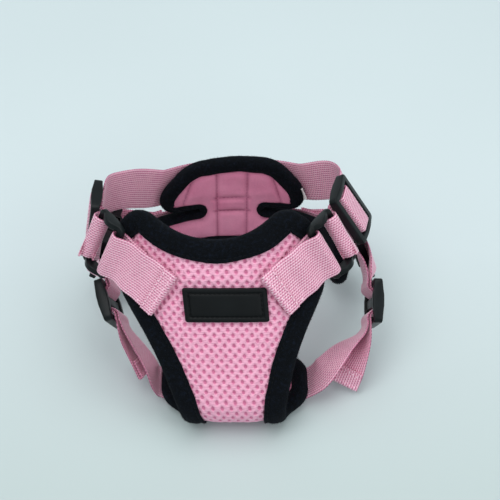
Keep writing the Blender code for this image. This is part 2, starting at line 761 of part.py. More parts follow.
def shoulder_strap(side):
    """From the back pad through the glide, round the ring and back to the glide's centre bar."""
    sign = side_sign(side)
    placed = Matrix(glide_frame(SHOULDER_GLIDE[side]))
    ring = ring_frame(side)
    sewn = []
    for reach in span(STRAP_SEWN_FROM, DOME_HALF_WIDTH - 4.0 * MM, 6.0 * MM):
        here = back_frame(sign * reach, STRAP_SEWN_H, SEWN_T + GAP, (sign, 0.0))
        sewn.append((here.translation, here.to_3x3() @ Vector((1.0, 0.0, 0.0))))
    free = [(vec(point), Vector(width)) for point, width in reversed(SHOULDER_ROUTE[side])]
    across = placed.to_3x3() @ Vector((1.0, 0.0, 0.0))
    if free[0][1].dot(across) < 0.0:
        free = [(point, -width) for point, width in free]
    if sewn[0][1].dot(across) < 0.0:
        sewn = [(point, -width) for point, width in sewn]
    main = list(reversed(glide_pass(1)))
    bar = (RING_EYE + RING_BAR) / 2
    clearance = bar_reach(RING_BAR, GLIDE_END_THICKNESS + 0.4 * MM)
    turn = bar_loop(ring, bar, clearance + 2.0 * GAP, placed.translation)
    rise = glide_pass(0)
    _, above, edge = glide_levels(0)
    wrap = rise[:8] + [(edge - 0.3 * MM, above - 0.25 * MM), (edge + 0.1 * MM, above - 1.8 * MM),
                       (edge + 0.1 * MM, 1.8 * MM - above), (edge - 0.3 * MM, 0.25 * MM - above),
                       (edge - 1.7 * MM, -above), (-0.5 * MM, -above - 0.1 * MM)]
    stations = sewn + free + local_stations(placed, main) + turn + local_stations(placed, wrap)
    return ribbon(f"shoulder_strap_{side}", stations, SHOULDER_WEB_WIDTH)


def glide_frame(place):
    centre, run, out = place
    return frame_from(vec(centre), run, out)


def belly_station(a, sign):
    """Middle of the webbing under the belly part of the chest pad."""
    here = chest_frame(a, fold_end() + BELLY_LENGTH / 2, SEWN_T, (sign, 0.0))
    return here.translation, here.to_3x3() @ Vector((1.0, 0.0, 0.0))


def belly_webbing():
    """Webbing sewn across the belly part of the chest pad; the harness stands on it."""
    stations = [belly_station(a, 1.0) for a in span(-BELLY_WING_HALF, BELLY_WING_HALF, 5.0 * MM)]
    return ribbon("belly_webbing", stations, GIRTH_WEB_WIDTH)


def girth_straps(side):
    """Belly strap up to its glide, and the loop from the glide round the plug's bar to the tail."""
    sign = side_sign(side)
    placed = glide_frame(GIRTH_GLIDE[side])
    across = placed.to_3x3() @ Vector((1.0, 0.0, 0.0))
    sewn = [belly_station(sign * (BELLY_WING_HALF + GAP), sign), belly_station(sign * (BELLY_WING_HALF + 5.0 * MM), sign)]
    free = [(vec(point), Vector(width)) for point, width in BELLY_ROUTE[side]]
    up = glide_pass(0)
    plug = plug_bar(side)
    reach = bar_reach(PLUG_BAR, PLUG_THICKNESS * 0.8)
    turn = list(reversed(bar_loop(plug, 0.0, reach, placed.translation)))
    down = list(reversed(glide_pass(1)))
    tail = [(vec(point), Vector(width)) for point, width in TAIL_ROUTE[side]]
    stations = sewn + free + local_stations(placed, up) + turn + local_stations(placed, down) + tail
    aligned = []
    last = across
    for point, width in reversed(stations):
        if width.dot(last) < 0.0:
            width = -width
        aligned.append((point, width))
        last = width
    return ribbon(f"girth_strap_{side}", list(reversed(aligned)), GIRTH_WEB_WIDTH)


def buckle_frame(side):
    centre, run, out = BUCKLE_TAIL[side]
    return frame_from(vec(centre), run, out)


def plug_bar(side):
    """Frame on the middle of the plug's webbing bar, Y pointing away from the socket."""
    placed = buckle_frame(side)
    reach = SOCKET_LENGTH + GAP + PLUG_SHOULDER + PLUG_SLOT + PLUG_BAR / 2
    centre = placed @ Vector((0.0, reach, 0.0))
    return frame_from(centre, placed.to_3x3() @ Vector((0.0, 1.0, 0.0)),
                      placed.to_3x3() @ Vector((0.0, 0.0, 1.0)))


def buckle_half_width():
    return GIRTH_WEB_WIDTH / 2 + WEB_PLAY + BUCKLE_RAIL


def buckle_socket(side):
    """Socket half: open mouth, side windows for the prongs and a webbing slot in its tail."""
    placed = buckle_frame(side)
    wide = buckle_half_width()
    tall = SOCKET_THICKNESS / 2
    low = SOCKET_TAIL_THICKNESS / 2
    ramp = TAIL_BAR + TAIL_SLOT
    profile = [(0.0, -low * 0.7), (1.0 * MM, -low), (ramp, -low), (ramp + 3.0 * MM, -tall),
               (SOCKET_LENGTH, -tall), (SOCKET_LENGTH, tall), (ramp + 3.0 * MM, tall), (ramp, low),
               (1.0 * MM, low), (0.0, low * 0.7)]
    made = prism(f"buckle_socket_{side}", profile, -wide, wide, "YZ", placed, "black_plastic")
    inner = wide - SOCKET_WALL
    height = tall - SOCKET_WALL
    cuts = [
        block(f"mouth_{side}", (-inner, ramp + 2.0 * MM, -height),
              (inner, SOCKET_LENGTH + 1.0 * MM, height), placed),
        block(f"windows_{side}", (-wide - 1.0 * MM, WINDOW_START, -height),
              (wide + 1.0 * MM, WINDOW_START + WINDOW_LENGTH, height), placed),
        block(f"tail_slot_{side}", (-GIRTH_WEB_WIDTH / 2 - WEB_PLAY, TAIL_BAR, -tall),
              (GIRTH_WEB_WIDTH / 2 + WEB_PLAY, TAIL_BAR + TAIL_SLOT, tall), placed),
    ]
    for cut in cuts:
        combine(made, cut, "DIFFERENCE")
    round_edges(made, PLASTIC_EDGE * 0.6)
    return made


def buckle_plug(side):
    """Plug half: webbing slot, shoulder and centre tongue."""
    placed = buckle_frame(side)
    wide = buckle_half_width()
    eye = GIRTH_WEB_WIDTH / 2 + WEB_PLAY
    start = SOCKET_LENGTH + GAP
    xs = (-wide, -eye, -TONGUE_HALF_WIDTH, TONGUE_HALF_WIDTH, eye, wide)
    ys = (start - TONGUE_LENGTH, start, start + PLUG_SHOULDER,
          start + PLUG_SHOULDER + PLUG_SLOT, start + PLUG_SHOULDER + PLUG_SLOT + PLUG_BAR)
    holes = {(0, 0), (0, 1), (0, 3), (0, 4), (2, 1), (2, 2), (2, 3)}
    thick = PLUG_THICKNESS
    thickness = (PRONG_THICKNESS * 0.7, PRONG_THICKNESS, thick, thick * 0.8, thick * 0.7)
    return windowed_plate(f"buckle_plug_{side}", placed, xs, ys, holes, thickness, "black_plastic")


def buckle_prong(side, end):
    """Spring prong whose button fills the socket's window; its origin is on the flexing root."""
    hand = side_sign(side) if end == "upper" else -side_sign(side)
    placed = buckle_frame(side)
    wide = buckle_half_width()
    inner = wide - SOCKET_WALL - GAP
    root_y = SOCKET_LENGTH - GAP
    tip_y = root_y - PRONG_LENGTH
    hook = WINDOW_START + WINDOW_LENGTH - GAP
    low = WINDOW_START + GAP
    root_x = inner - PRONG_ROOT_WIDTH / 2 - 0.6 * MM
    pivot = placed @ Vector((hand * root_x, root_y, 0.0))
    outline = [
        (root_x - PRONG_ROOT_WIDTH / 2, root_y),
        (root_x + PRONG_ROOT_WIDTH / 2, root_y),
        (inner, hook + 1.0 * MM),
        (inner, hook),
        (wide + BUTTON_PROUD, hook),
        (wide + BUTTON_PROUD, hook - 2.2 * MM),
        (wide - 0.4 * MM, low + 0.5 * MM),
        (inner, low),
        (inner - 0.8 * MM, tip_y),
        (inner - 2.6 * MM, tip_y),
        (inner - 3.6 * MM, hook - 1.0 * MM),
    ]
    flat = [((x - root_x) * hand, y - root_y) for x, y in outline]
    own = placed.copy()
    own.translation = pivot
    name = f"buckle_prong_{end}_{side}"
    half = PRONG_THICKNESS / 2
    made = prism(name, flat, -half, half, "XY", own, "black_plastic")
    round_edges(made, PLASTIC_EDGE * 0.5)
    return made


def wing_station(a, t):
    """Middle of the girth webbing on the wing, with its width laid along the pad."""
    middle = wing_middle(a)
    half = GIRTH_WEB_WIDTH / 2
    high = back_point(a, middle + half, t)
    low = back_point(a, middle - half, t)
    return (high + low) / 2, high - low


def back_girth_webbing():
    """Across the outside of the back pad, with each end folded through a buckle socket."""
    stations = []
    for sign in (-1.0, 1.0):
        side = "right" if sign > 0 else "left"
        placed = buckle_frame(side)
        bar = TAIL_BAR / 2
        reach = bar_reach(TAIL_BAR, SOCKET_TAIL_THICKNESS)
        fold = bar_loop(placed, bar, reach, wing_station(sign * 50.0 * MM, SEWN_T)[0])
        pad = []
        for reach_a in (10.0, 20.0, 30.0, 40.0, 45.0, 50.0):
            a = sign * reach_a * MM
            pad.append(wing_station(a, SEWN_T + GAP))
        lap = []
        for reach_a in (46.0, 40.0):
            a = sign * reach_a * MM
            lap.append(wing_station(a, SEWN_T + LAYER_STEP + 2.0 * GAP))
        fold = [(point, width if width.z > 0 else -width) for point, width in fold]
        half = pad + fold + lap
        stations = list(reversed(half)) if sign < 0 else stations + half
    return ribbon("back_girth_webbing", stations, GIRTH_WEB_WIDTH)


def spine_webbing():
    stations = []
    for h in (SPINE_LOW, LEASH_H, BACK_HEIGHT - BINDING_FACE_DEPTH - 2.0 * MM):
        stations.append((back_point(0.0, h, ON_MESH_T), Vector((1.0, 0.0, 0.0))))
    return ribbon("spine_webbing", stations, SPINE_WEB_WIDTH)


def leash_axis():
    return back_point(0.0, LEASH_H, ON_MESH_T + WEB_THICKNESS / 2 + GAP + LEASH_WIRE / 2)


def ring_keeper():
    """Short webbing that holds the leash ring's straight bar against the spine webbing."""
    flat = ON_MESH_T + LAYER_STEP
    over = ON_MESH_T + WEB_THICKNESS + 2.0 * GAP + LEASH_WIRE
    points = [(-8.0, flat), (-5.5, flat), (-2.6, over - 1.0 * MM), (0.0, over), (2.6, over - 1.0 * MM),
              (5.5, flat), (10.5, flat)]
    stations = [(back_point(0.0, LEASH_H + h * MM, t), Vector((1.0, 0.0, 0.0))) for h, t in points]
    return ribbon("leash_ring_keeper", stations, SPINE_WEB_WIDTH, spacing=2.5 * MM)


def leash_ring():
    """D-ring that hangs from its straight bar."""
    axis = leash_axis()
    half = LEASH_EYE_WIDTH / 2 + LEASH_WIRE / 2
    drop = LEASH_EYE_HEIGHT + LEASH_WIRE / 2 - half
    corner = 2.0 * MM
    path = []
    for step in range(4):
        angle = math.radians(90.0 - 30.0 * step)
        path.append(Vector((half - corner + corner * math.cos(angle), 0.0, -corner + corner * math.sin(angle))))
    for step in range(13):
        angle = math.radians(-15.0 * step)
        path.append(Vector((half * math.cos(angle), 0.0, -drop + half * math.sin(angle))))
    for step in range(4):
        angle = math.radians(180.0 - 30.0 * step)
        path.append(Vector((-half + corner + corner * math.cos(angle), 0.0, -corner + corner * math.sin(angle))))
    path = [point for index, point in enumerate(path) if (point - path[index - 1]).length > 0.2 * MM]
    made = wire_loop("leash_ring", path, Vector((0.0, 1.0, 0.0)), LEASH_WIRE, "steel")
    made.location = axis
    return made


def label_patch():
    """Rubber patch with a raised border, bent to the chest."""
    half_w = LABEL_WIDTH / 2
    half_h = LABEL_HEIGHT / 2
    low = FACE_T + GAP
    corners = [(-half_w, -half_h, LABEL_CORNER), (half_w, -half_h, LABEL_CORNER),
               (half_w, half_h, LABEL_CORNER), (-half_w, half_h, LABEL_CORNER)]
    outline = filleted(corners, 4.0 * MM)
    bm = bmesh.new()
    rings = []
    levels = ((0.0, low), (0.0, low + LABEL_THICKNESS - 0.3 * MM), (0.3 * MM, low + LABEL_THICKNESS),
              (LABEL_BORDER, low + LABEL_THICKNESS), (LABEL_BORDER + 0.4 * MM, low + LABEL_THICKNESS - LABEL_RECESS))
    for inset, height in levels:
        ring = []
        for point in outline:
            x = math.copysign(abs(point.x) - inset * abs(point.x) / half_w, point.x)
            y = math.copysign(abs(point.y) - inset * abs(point.y) / half_h, point.y)
            ring.append(bm.verts.new((x, y, height)))
        rings.append(ring)
    size = len(outline)
    for here, there in zip(rings, rings[1:]):
        for index in range(size):
            after = (index + 1) % size
            bm.faces.new((here[index], here[after], there[after], there[index]))
    bm.faces.new(rings[0])
    bm.faces.new(rings[-1])
    bmesh.ops.triangulate(bm, faces=bm.faces)
    for value in (-16.0, -8.0, 0.0, 8.0, 16.0):
        bmesh.ops.bisect_plane(bm, geom=bm.verts[:] + bm.edges[:] + bm.faces[:],
                               plane_co=(value * MM, 0.0, 0.0), plane_no=(1.0, 0.0, 0.0), dist=1e-6)
    bmesh.ops.triangulate(bm, faces=bm.faces)
    for vert in bm.verts:
        vert.co = chest_point(LABEL_A + vert.co.x, LABEL_S + vert.co.y, vert.co.z)
    return add_object("label_patch", mesh_from_bmesh("label_patch", bm), "black_rubber")


def size_tag():
    """Small folded tag that stands out of the back pad's edge."""
    top = Vector((DOME_HALF_WIDTH - DOME_TAPER, BACK_HEIGHT - DOME_SHOULDER))
    bottom = Vector((DOME_HALF_WIDTH, NOTCH_HEIGHT + DOME_FOOT))
    along = (bottom - top).normalized()
    edge = top.lerp(bottom, TAG_PLACE)
    here = back_frame(edge.x, edge.y, 0.0, (-along.y, along.x))
    start = EDGE_OUT + GAP
    points = [(start + reach, lift) for reach, lift in ((0.0, 0.0), (TAG_LENGTH / 2, 0.6 * MM), (TAG_LENGTH, 0.4 * MM))]
    return ribbon("size_tag", local_stations(here, points), TAG_WIDTH, "white_tag")


def span(low, high, step):
    count = max(1, round((high - low) / step))
    return [low + (high - low) * index / count for index in range(count + 1)]


def build_pads():
    chest = filleted(chest_corners(), CHEST_STEP)
    back = filleted(back_corners(), BACK_STEP)
    foam = FOAM_THICKNESS / 2
    face = foam + GAP
    inside = -foam - GAP
    bottom = fold_end() + BELLY_LENGTH
    chest_cuts = (span(-54.0 * MM, 54.0 * MM, 6.0 * MM),
                  span(-6.0 * MM, CHEST_LENGTH, 18.0 * MM)
                  + span(CHEST_LENGTH, fold_end(), 3.2 * MM)[1:] + [bottom - 12.0 * MM])
    back_cuts = (span(-84.0 * MM, 84.0 * MM, 6.0 * MM), (7.0 * MM, 14.0 * MM, 20.0 * MM, 44.0 * MM, 56.0 * MM))
    for name, outline, place, cuts in (("chest", chest, chest_point, chest_cuts),
                                       ("back", back, back_point, back_cuts)):
        pad_layer(f"{name}_mesh_face", outline, place, face, face + MESH_THICKNESS, cuts, "pink_mesh")
        pad_layer(f"{name}_foam_core", outline, place, -foam, foam, cuts, "foam")
        pad_layer(f"{name}_lining", outline, place, inside - LINING_THICKNESS, inside, cuts, "pink_lining")
        binding(f"{name}_binding", outline, place)


def main():
    for leftover in list(bpy.data.objects):
        bpy.data.objects.remove(leftover, do_unlink=True)
    build_pads()
    label_patch()
    belly_webbing()
    back_girth_webbing()
    spine_webbing()
    ring_keeper()
    leash_ring()
    size_tag()
    for side in ("left", "right"):
        shoulder_ring(side)
        chest_tab(side)
        glide(f"shoulder_glide_{side}", glide_frame(SHOULDER_GLIDE[side]), SHOULDER_WEB_WIDTH)
        shoulder_strap(side)
        glide(f"girth_glide_{side}", glide_frame(GIRTH_GLIDE[side]), GIRTH_WEB_WIDTH)
        buckle_socket(side)
        buckle_plug(side)
        buckle_prong(side, "upper")
        buckle_prong(side, "lower")
        girth_straps(side)


main()
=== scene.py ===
import math

import bmesh
import bpy
import numpy as np
from mathutils import Matrix, Vector, noise


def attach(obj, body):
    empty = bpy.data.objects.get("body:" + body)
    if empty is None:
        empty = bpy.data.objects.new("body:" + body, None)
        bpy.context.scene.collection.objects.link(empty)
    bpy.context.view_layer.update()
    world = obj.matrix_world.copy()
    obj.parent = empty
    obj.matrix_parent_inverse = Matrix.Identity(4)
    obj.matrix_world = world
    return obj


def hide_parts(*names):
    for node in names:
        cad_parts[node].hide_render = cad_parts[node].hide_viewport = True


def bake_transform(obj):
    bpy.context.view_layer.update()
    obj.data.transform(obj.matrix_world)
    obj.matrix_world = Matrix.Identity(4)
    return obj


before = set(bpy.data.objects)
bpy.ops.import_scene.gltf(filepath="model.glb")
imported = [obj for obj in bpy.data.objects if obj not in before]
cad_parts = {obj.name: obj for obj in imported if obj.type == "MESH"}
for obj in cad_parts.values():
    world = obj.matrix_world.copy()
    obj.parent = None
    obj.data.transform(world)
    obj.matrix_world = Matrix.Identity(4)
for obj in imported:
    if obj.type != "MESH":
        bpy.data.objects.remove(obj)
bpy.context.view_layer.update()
bpy.ops.object.select_all(action="DESELECT")
print("frame loaded:", len(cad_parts), "nodes")

mm = 0.001
gap = 0.3 * mm
middle = Vector((0.0, 2.8, 0.0)) * mm  # the origin sits under the harness's middle
sides = {"right": 1.0, "left": -1.0}


def lengths(**values):  # named lengths, given in millimetres
    return {key: value * mm for key, value in values.items()}


layers = lengths(foam=2.4, mesh=1.0, lining=0.8, tapeWall=0.9, tapePlay=0.45, tapeFaceDepth=10.0, tapeLiningDepth=6.0,
                 webThick=1.2, webPlay=0.75, loopSlack=0.7)
faceTop = layers["foam"] / 2 + gap + layers["mesh"]
tapeTop = faceTop + layers["tapePlay"]
tapeBottom = layers["foam"] / 2 + gap + layers["lining"] + layers["tapePlay"]
edgeOut = gap + layers["tapeWall"]
onMesh = faceTop + gap + layers["webThick"] / 2
sewnOn = tapeTop + layers["tapeWall"] + gap + layers["webThick"] / 2
layerStep = layers["webThick"] + gap

chest = lengths(neckY=-17.5, length=83.0, foldRadius=12.0, bellyLength=31.0, shift=2.5, flat=8.0, bend=58.0,
                waistBend=110.0, bellyFlat=22.0, bellyBend=26.0, bellyHalf=38.0)
chest.update(slope=math.radians(53.13), lean=0.125)
chest["foldEnd"] = chest["length"] + (math.pi - chest["slope"]) * chest["foldRadius"]
chest["bottom"] = chest["foldEnd"] + chest["bellyLength"]
chest["neckZ"] = (sewnOn + layers["webThick"] / 2 + chest["foldRadius"] * (1.0 + math.cos(chest["slope"]))
                  + chest["length"] * math.sin(chest["slope"]))
chestCorners = [  # right half from the neckline down: across, down, corner radius in mm
    (0.0, 12.0, 47.0), (38.0, -15.0, 11.0), (52.0, -5.0, 11.0), (57.5, 22.0, 24.0), (36.0, 54.0, 120.0),
    (26.0, 89.0, 60.0), (25.0, chest["foldEnd"] / mm - 4.0, 9.0), (38.0, chest["foldEnd"] / mm + 3.0, 11.0),
    (38.0, chest["bottom"] / mm, 11.0),
]

back = lengths(y=68.0, radius=95.0, centreHalf=42.0, wingRadius=25.0, wingHalf=90.0, wingHeight=27.0, wingRise=13.0,
               height=64.0, notchTip=18.0, flare=2.0, flareHeight=20.0)
back.update(wingBend=math.radians(50.0), lean=0.05, skew=0.08)
backCorners = [  # right half from the dome's top down, in mm
    (0.0, 64.0, 0.0), (24.0, 63.0, 20.0), (38.0, 49.0, 20.0), (44.0, 35.0, 8.0), (18.0, 32.0, 1.98),
    (18.0, 28.0, 1.98), (48.0, 28.0, 30.0), (90.0, edgeOut / mm + 40.0, 12.0), (90.0, edgeOut / mm + 13.0, 12.0),
    (26.0, edgeOut / mm, 60.0),
]


def ease(value):
    value = min(1.0, max(0.0, value))
    return value * value * (3.0 - 2.0 * value)


def easeAll(values):
    values = np.clip(values, 0.0, 1.0)
    return values * values * (3.0 - 2.0 * values)


def place(values):
    return Vector(values) * mm - middle


def chestPoint(a, s, t):  # across, down from the neckline, out of the pad's middle layer
    slope = chest["slope"]
    run = Vector((0.0, -math.cos(slope), -math.sin(slope)))
    out = Vector((0.0, -math.sin(slope), math.cos(slope)))
    point = Vector((0.0, chest["neckY"], chest["neckZ"])) + run * min(s, chest["length"])
    if s > chest["length"]:
        centre = point - out * chest["foldRadius"]
        spin = Matrix.Rotation(min((s - chest["length"]) / chest["foldRadius"], math.pi - slope), 3, "X")
        out = spin @ out
        run = spin @ run
        point = centre + out * chest["foldRadius"] + run * max(0.0, s - chest["foldEnd"])
    down = ease(s / chest["length"])
    radius = 1.0 / ((1.0 - down) / chest["bend"] + down / chest["waistBend"])
    under = ease((s - chest["length"]) / (chest["foldEnd"] - chest["length"]))
    radius = 1.0 / ((1.0 - under) / radius + under / chest["bellyBend"])
    flat = chest["flat"] + (chest["bellyFlat"] - chest["flat"]) * under
    angle = max(0.0, abs(a) - flat) / radius
    across = min(abs(a), flat) + (radius + t) * math.sin(angle)
    point = point + Vector((math.copysign(across, a), 0.0, 0.0)) + out * ((radius + t) * math.cos(angle) - radius)
    point.x += chest["shift"] - chest["lean"] * point.z
    return point - middle


def backPoint(a, h, t):  # across, up from the ground, out of the pad's middle layer
    reach = abs(a)
    angle = min(reach, back["centreHalf"]) / back["radius"]
    x = back["radius"] * math.sin(angle)
    y = back["y"] - back["radius"] * (1.0 - math.cos(angle))
    wing = back["wingRadius"]
    bend = min(max(0.0, reach - back["centreHalf"]) / wing, back["wingBend"])
    x += wing * (math.sin(angle + bend) - math.sin(angle))
    y -= wing * (math.cos(angle) - math.cos(angle + bend))
    angle += bend
    straight = max(0.0, reach - back["centreHalf"] - wing * back["wingBend"])
    x = math.copysign(x + straight * math.cos(angle), a)
    y -= straight * math.sin(angle)
    angle = math.copysign(angle, a)
    out = t + back["flare"] * max(0.0, 1.0 - h / back["flareHeight"]) ** 2 + back["lean"] * h
    x += out * math.sin(angle)
    return Vector((x, y + out * math.cos(angle), h + back["skew"] * x * h / back["height"])) - middle


def wingMiddle(a):
    rise = max(0.0, abs(a) - back["notchTip"]) / (back["wingHalf"] - back["notchTip"])
    return edgeOut + back["wingHeight"] / 2 + back["wingRise"] * rise


def wholeOutline(half, spacing):  # closed flat outline of both halves, its corners rounded
    half = [(x * mm, y * mm, radius * mm) for x, y, radius in half]
    corners = half + [(-x, y, radius) for x, y, radius in reversed(half) if x > 1e-9]
    outline = []
    for index, (x, y, radius) in enumerate(corners):
        corner = Vector((x, y))
        before = (Vector(corners[index - 1][:2]) - corner).normalized()
        after = (Vector(corners[(index + 1) % len(corners)][:2]) - corner).normalized()
        turn = math.pi - before.angle(after)
        if radius == 0.0 or turn < 0.01:
            outline.append(corner)
            continue
        reach = radius * math.tan(turn / 2)
        centre = corner + (before + after).normalized() * (radius / math.cos(turn / 2))
        start = corner + before * reach - centre
        sweep = start.angle_signed(corner + after * reach - centre)
        steps = max(3, math.ceil(radius * turn / spacing))
        outline += [centre + Matrix.Rotation(-sweep * step / steps, 2) @ start for step in range(steps + 1)]
    dense = []
    for here, there in zip(outline, outline[1:] + outline[:1]):
        count = max(1, math.ceil((there - here).length / spacing))
        dense += [here.lerp(there, step / count) for step in range(count)]
    return [point for index, point in enumerate(dense) if (point - dense[index - 1]).length > 0.05 * mm]


def frameFrom(origin, run, out):
    y = Vector(run).normalized()
    z = (Vector(out) - y * y.dot(Vector(out))).normalized()
    placed = Matrix((y.cross(z), y, z)).transposed().to_4x4()
    placed.translation = origin
    return placed


def surfaceFrame(surface, a, b, t, heading):  # y along the heading, z out of the pad's face
    step = 0.5 * mm
    here = surface(a, b, t)
    run = surface(a + heading[0] * step, b + heading[1] * step, t) - here
    side = surface(a - heading[1] * step, b + heading[0] * step, t) - here
    out = run.cross(side)
    if out.dot(surface(a, b, t + step) - here) < 0.0:
        out = -out
    return frameFrom(here, run, out)


def acrossOf(placed):
    return placed.to_3x3() @ Vector((1.0, 0.0, 0.0))


def surfaceStation(*where):  # a place on a pad and the webbing's width there
    here = surfaceFrame(*where)
    return here.translation, acrossOf(here)


def extent(outline):
    xs, ys = [p.x for p in outline], [p.y for p in outline]
    return min(xs), max(xs), min(ys), max(ys)


def edgeDistance(points, outline):  # to the outline, negative outside it
    flat = np.array([(p[0], p[1]) for p in outline])
    points = np.array(points)
    result = np.empty(len(points))
    inside = np.zeros(len(points), bool)
    for (x1, y1), (x2, y2) in zip(np.roll(flat, 1, 0), flat):
        crosses = (y1 > points[:, 1]) != (y2 > points[:, 1])
        at = (x2 - x1) * (points[:, 1] - y1) / ((y2 - y1) if y2 != y1 else 1e-12) + x1
        inside ^= crosses & (points[:, 0] < at)
    for start in range(0, len(points), 4000):
        part = points[start:start + 4000]
        result[start:start + 4000] = np.sqrt(((part[:, None, :] - flat[None]) ** 2).sum(2).min(1))
    return np.where(inside, result, -result)


def lineDistance(points, one, two):
    one, two = np.array(one), np.array(two)
    way = two - one
    at = np.clip(((points - one) @ way) / (way @ way), 0.0, 1.0)
    return np.sqrt(((points - one - at[:, None] * way) ** 2).sum(1))


def tubeFaces(count, size, closed):  # skin over rings of points, each ring after the last
    faces = []
    for index in range(count if closed else count - 1):
        here, there = index * size, (index + 1) % count * size
        faces += [(here + k, here + (k + 1) % size, there + (k + 1) % size, there + k) for k in range(size)]
    return faces


def openEdges(loops):  # edges that only one loop has
    uses = {}
    for loop in loops:
        for one, two in zip(loop, loop[1:] + loop[:1]):
            edge = (min(one, two), max(one, two))
            uses[edge] = uses.get(edge, 0) + 1
    return [edge for edge, count in uses.items() if count == 1]


def seat(piece, nodes, body):  # what a piece stands for and moves with
    if nodes:
        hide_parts(*nodes)
    if body:
        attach(piece, body)


def addPiece(name, verts, faces, finish, nodes=(), body="harness", values=None):
    mesh = bpy.data.meshes.new(name)
    mesh.from_pydata([tuple(v) for v in verts], [], faces)
    for key, numbers in (values or {}).items():
        mesh.attributes.new(key, "FLOAT", "POINT").data.foreach_set("value", np.array(numbers, np.float32))
    bm = bmesh.new()
    bm.from_mesh(mesh)
    bmesh.ops.recalc_face_normals(bm, faces=bm.faces)
    if bm.calc_volume(signed=True) < 0.0:
        bmesh.ops.reverse_faces(bm, faces=bm.faces)
    bm.to_mesh(mesh)
    bm.free()
    mesh.polygons.foreach_set("use_smooth", [True] * len(mesh.polygons))
    mesh.materials.append(finish)
    made = bpy.data.objects.new(name, mesh)
    bpy.context.scene.collection.objects.link(made)
    seat(made, nodes, body)
    return made


# finishes

white = (1.0, 1.0, 1.0)


def colour(code):
    channels = [int(code[i:i + 2], 16) / 255.0 for i in (0, 2, 4)]
    return tuple(c / 12.92 if c <= 0.04045 else ((c + 0.055) / 1.055) ** 2.4 for c in channels) + (1.0,)


def feed(finish, socket, value):  # a socket takes a number, a colour or another node's output
    if isinstance(value, bpy.types.NodeSocket):
        finish.node_tree.links.new(value, socket)
    else:
        socket.default_value = value


def dress(finish, **sockets):
    for key, value in sockets.items():
        feed(finish, finish.node_tree.nodes["Principled BSDF"].inputs[key.replace("_", " ")], value)


def newFinish(name, **sockets):
    finish = bpy.data.materials.new(name)
    finish.use_nodes = True
    dress(finish, **sockets)
    return finish


def addNode(finish, kind, **sockets):
    node = finish.node_tree.nodes.new("ShaderNode" + kind)
    for key, value in sockets.items():
        feed(finish, node.inputs[key.replace("_", " ")], value)
    return node


def noiseOf(finish, scale, detail):
    coords = addNode(finish, "TexCoord").outputs["Object"]
    return addNode(finish, "TexNoise", Vector=coords, Scale=scale, Detail=detail).outputs["Fac"]


def rampOf(finish, source, *stops):  # each stop is a position with a colour code or three shares
    ramp = addNode(finish, "ValToRGB", Fac=source)
    while len(ramp.color_ramp.elements) < len(stops):
        ramp.color_ramp.elements.new(0.5)
    for element, (position, shade) in zip(ramp.color_ramp.elements, stops):
        element.position = position
        element.color = colour(shade) if isinstance(shade, str) else shade + (1.0,)
    return ramp.outputs["Color"]


def bumpOf(finish, height, strength, distance, **under):
    return addNode(finish, "Bump", Height=height, Strength=strength, Distance=distance, **under).outputs["Normal"]


def multiplied(finish, one, two):
    mix = addNode(finish, "Mix")
    mix.data_type, mix.blend_type = "RGBA", "MULTIPLY"
    for index, value in ((0, 1.0), (6, one), (7, two)):  # factor and the two colours
        feed(finish, mix.inputs[index], value)
    return mix.outputs[2]


def valueOf(finish, key):
    value = addNode(finish, "Attribute")
    value.attribute_name = key
    return value.outputs["Fac"]


def wovenFinish():
    finish = newFinish("pinkWebbing", Roughness=0.5, Sheen_Weight=0.2, Sheen_Roughness=0.45, Specular_IOR_Level=0.5)
    # the yarn value paints the woven pattern, with painted highlight on the yarn crowns and painted shade in the pits
    # between them
    yarn = rampOf(finish, valueOf(finish, "yarn"), (0.1, "6A1840"), (0.4, "EA8FB3"), (0.9, "FFF0F5"))
    fade = rampOf(finish, noiseOf(finish, 38.0, 4.0), (0.3, (0.86, 0.86, 0.86)), (0.7, white))
    dress(finish, Base_Color=multiplied(finish, yarn, fade),
          Normal=bumpOf(finish, noiseOf(finish, 2600.0, 2.0), 0.35, 0.0002))
    return finish


def knitFinish():
    finish = newFinish("airMeshKnit", Roughness=0.75, Sheen_Weight=0.3, Sheen_Roughness=0.4, Specular_IOR_Level=0.3)
    # painted shade: pale on the strands and darker down each hole, partly the darker backing seen through it, partly
    # shade in the hole wells
    shade = rampOf(finish, valueOf(finish, "depth"), (0.0, "F8B7D0"), (0.34, "F2A5C2"), (0.62, "E292B3"),
                   (1.0, "DA84A8"))
    flat = addNode(finish, "CombineXYZ", X=valueOf(finish, "flatX"), Y=valueOf(finish, "flatY"))
    over = addNode(finish, "Math")
    over.operation = "MAXIMUM"
    for socket, lean in zip(over.inputs, (-48.0, 48.0)):  # the threads cross between the holes
        turn = addNode(finish, "Mapping", Vector=flat.outputs["Vector"], Rotation=(0.0, 0.0, math.radians(lean)),
                       Scale=(0.3, 1.9, 1.0))
        thread = addNode(finish, "TexNoise", Vector=turn.outputs["Vector"], Scale=1.0, Detail=1.0)
        feed(finish, socket, thread.outputs["Fac"])
    threads = over.outputs["Value"]
    tint = rampOf(finish, threads, (0.44, (0.78, 0.68, 0.74)), (0.55, (0.94, 0.91, 0.93)), (0.66, white))
    dress(finish, Base_Color=multiplied(finish, shade, tint), Normal=bumpOf(finish, threads, 0.6, 0.0005))
    return finish


def liningFinish():
    finish = newFinish("liningTricot", Roughness=0.7, Sheen_Weight=0.35, Sheen_Roughness=0.35, Specular_IOR_Level=0.3)
    cloth = rampOf(finish, noiseOf(finish, 60.0, 5.0), (0.3, "E48BAC"), (0.7, "F09FBD"))
    rib = noiseOf(finish, 1600.0, 2.0)
    tint = rampOf(finish, rib, (0.35, (0.92, 0.9, 0.91)), (0.65, white))
    # painted shade: the lining is darker along its sewn grooves
    paintedSeamShade = rampOf(finish, valueOf(finish, "seam"), (0.25, white), (0.95, (0.76, 0.68, 0.72)))
    dress(finish, Base_Color=multiplied(finish, multiplied(finish, cloth, tint), paintedSeamShade),
          Normal=bumpOf(finish, rib, 0.4, 0.0002))
    return finish


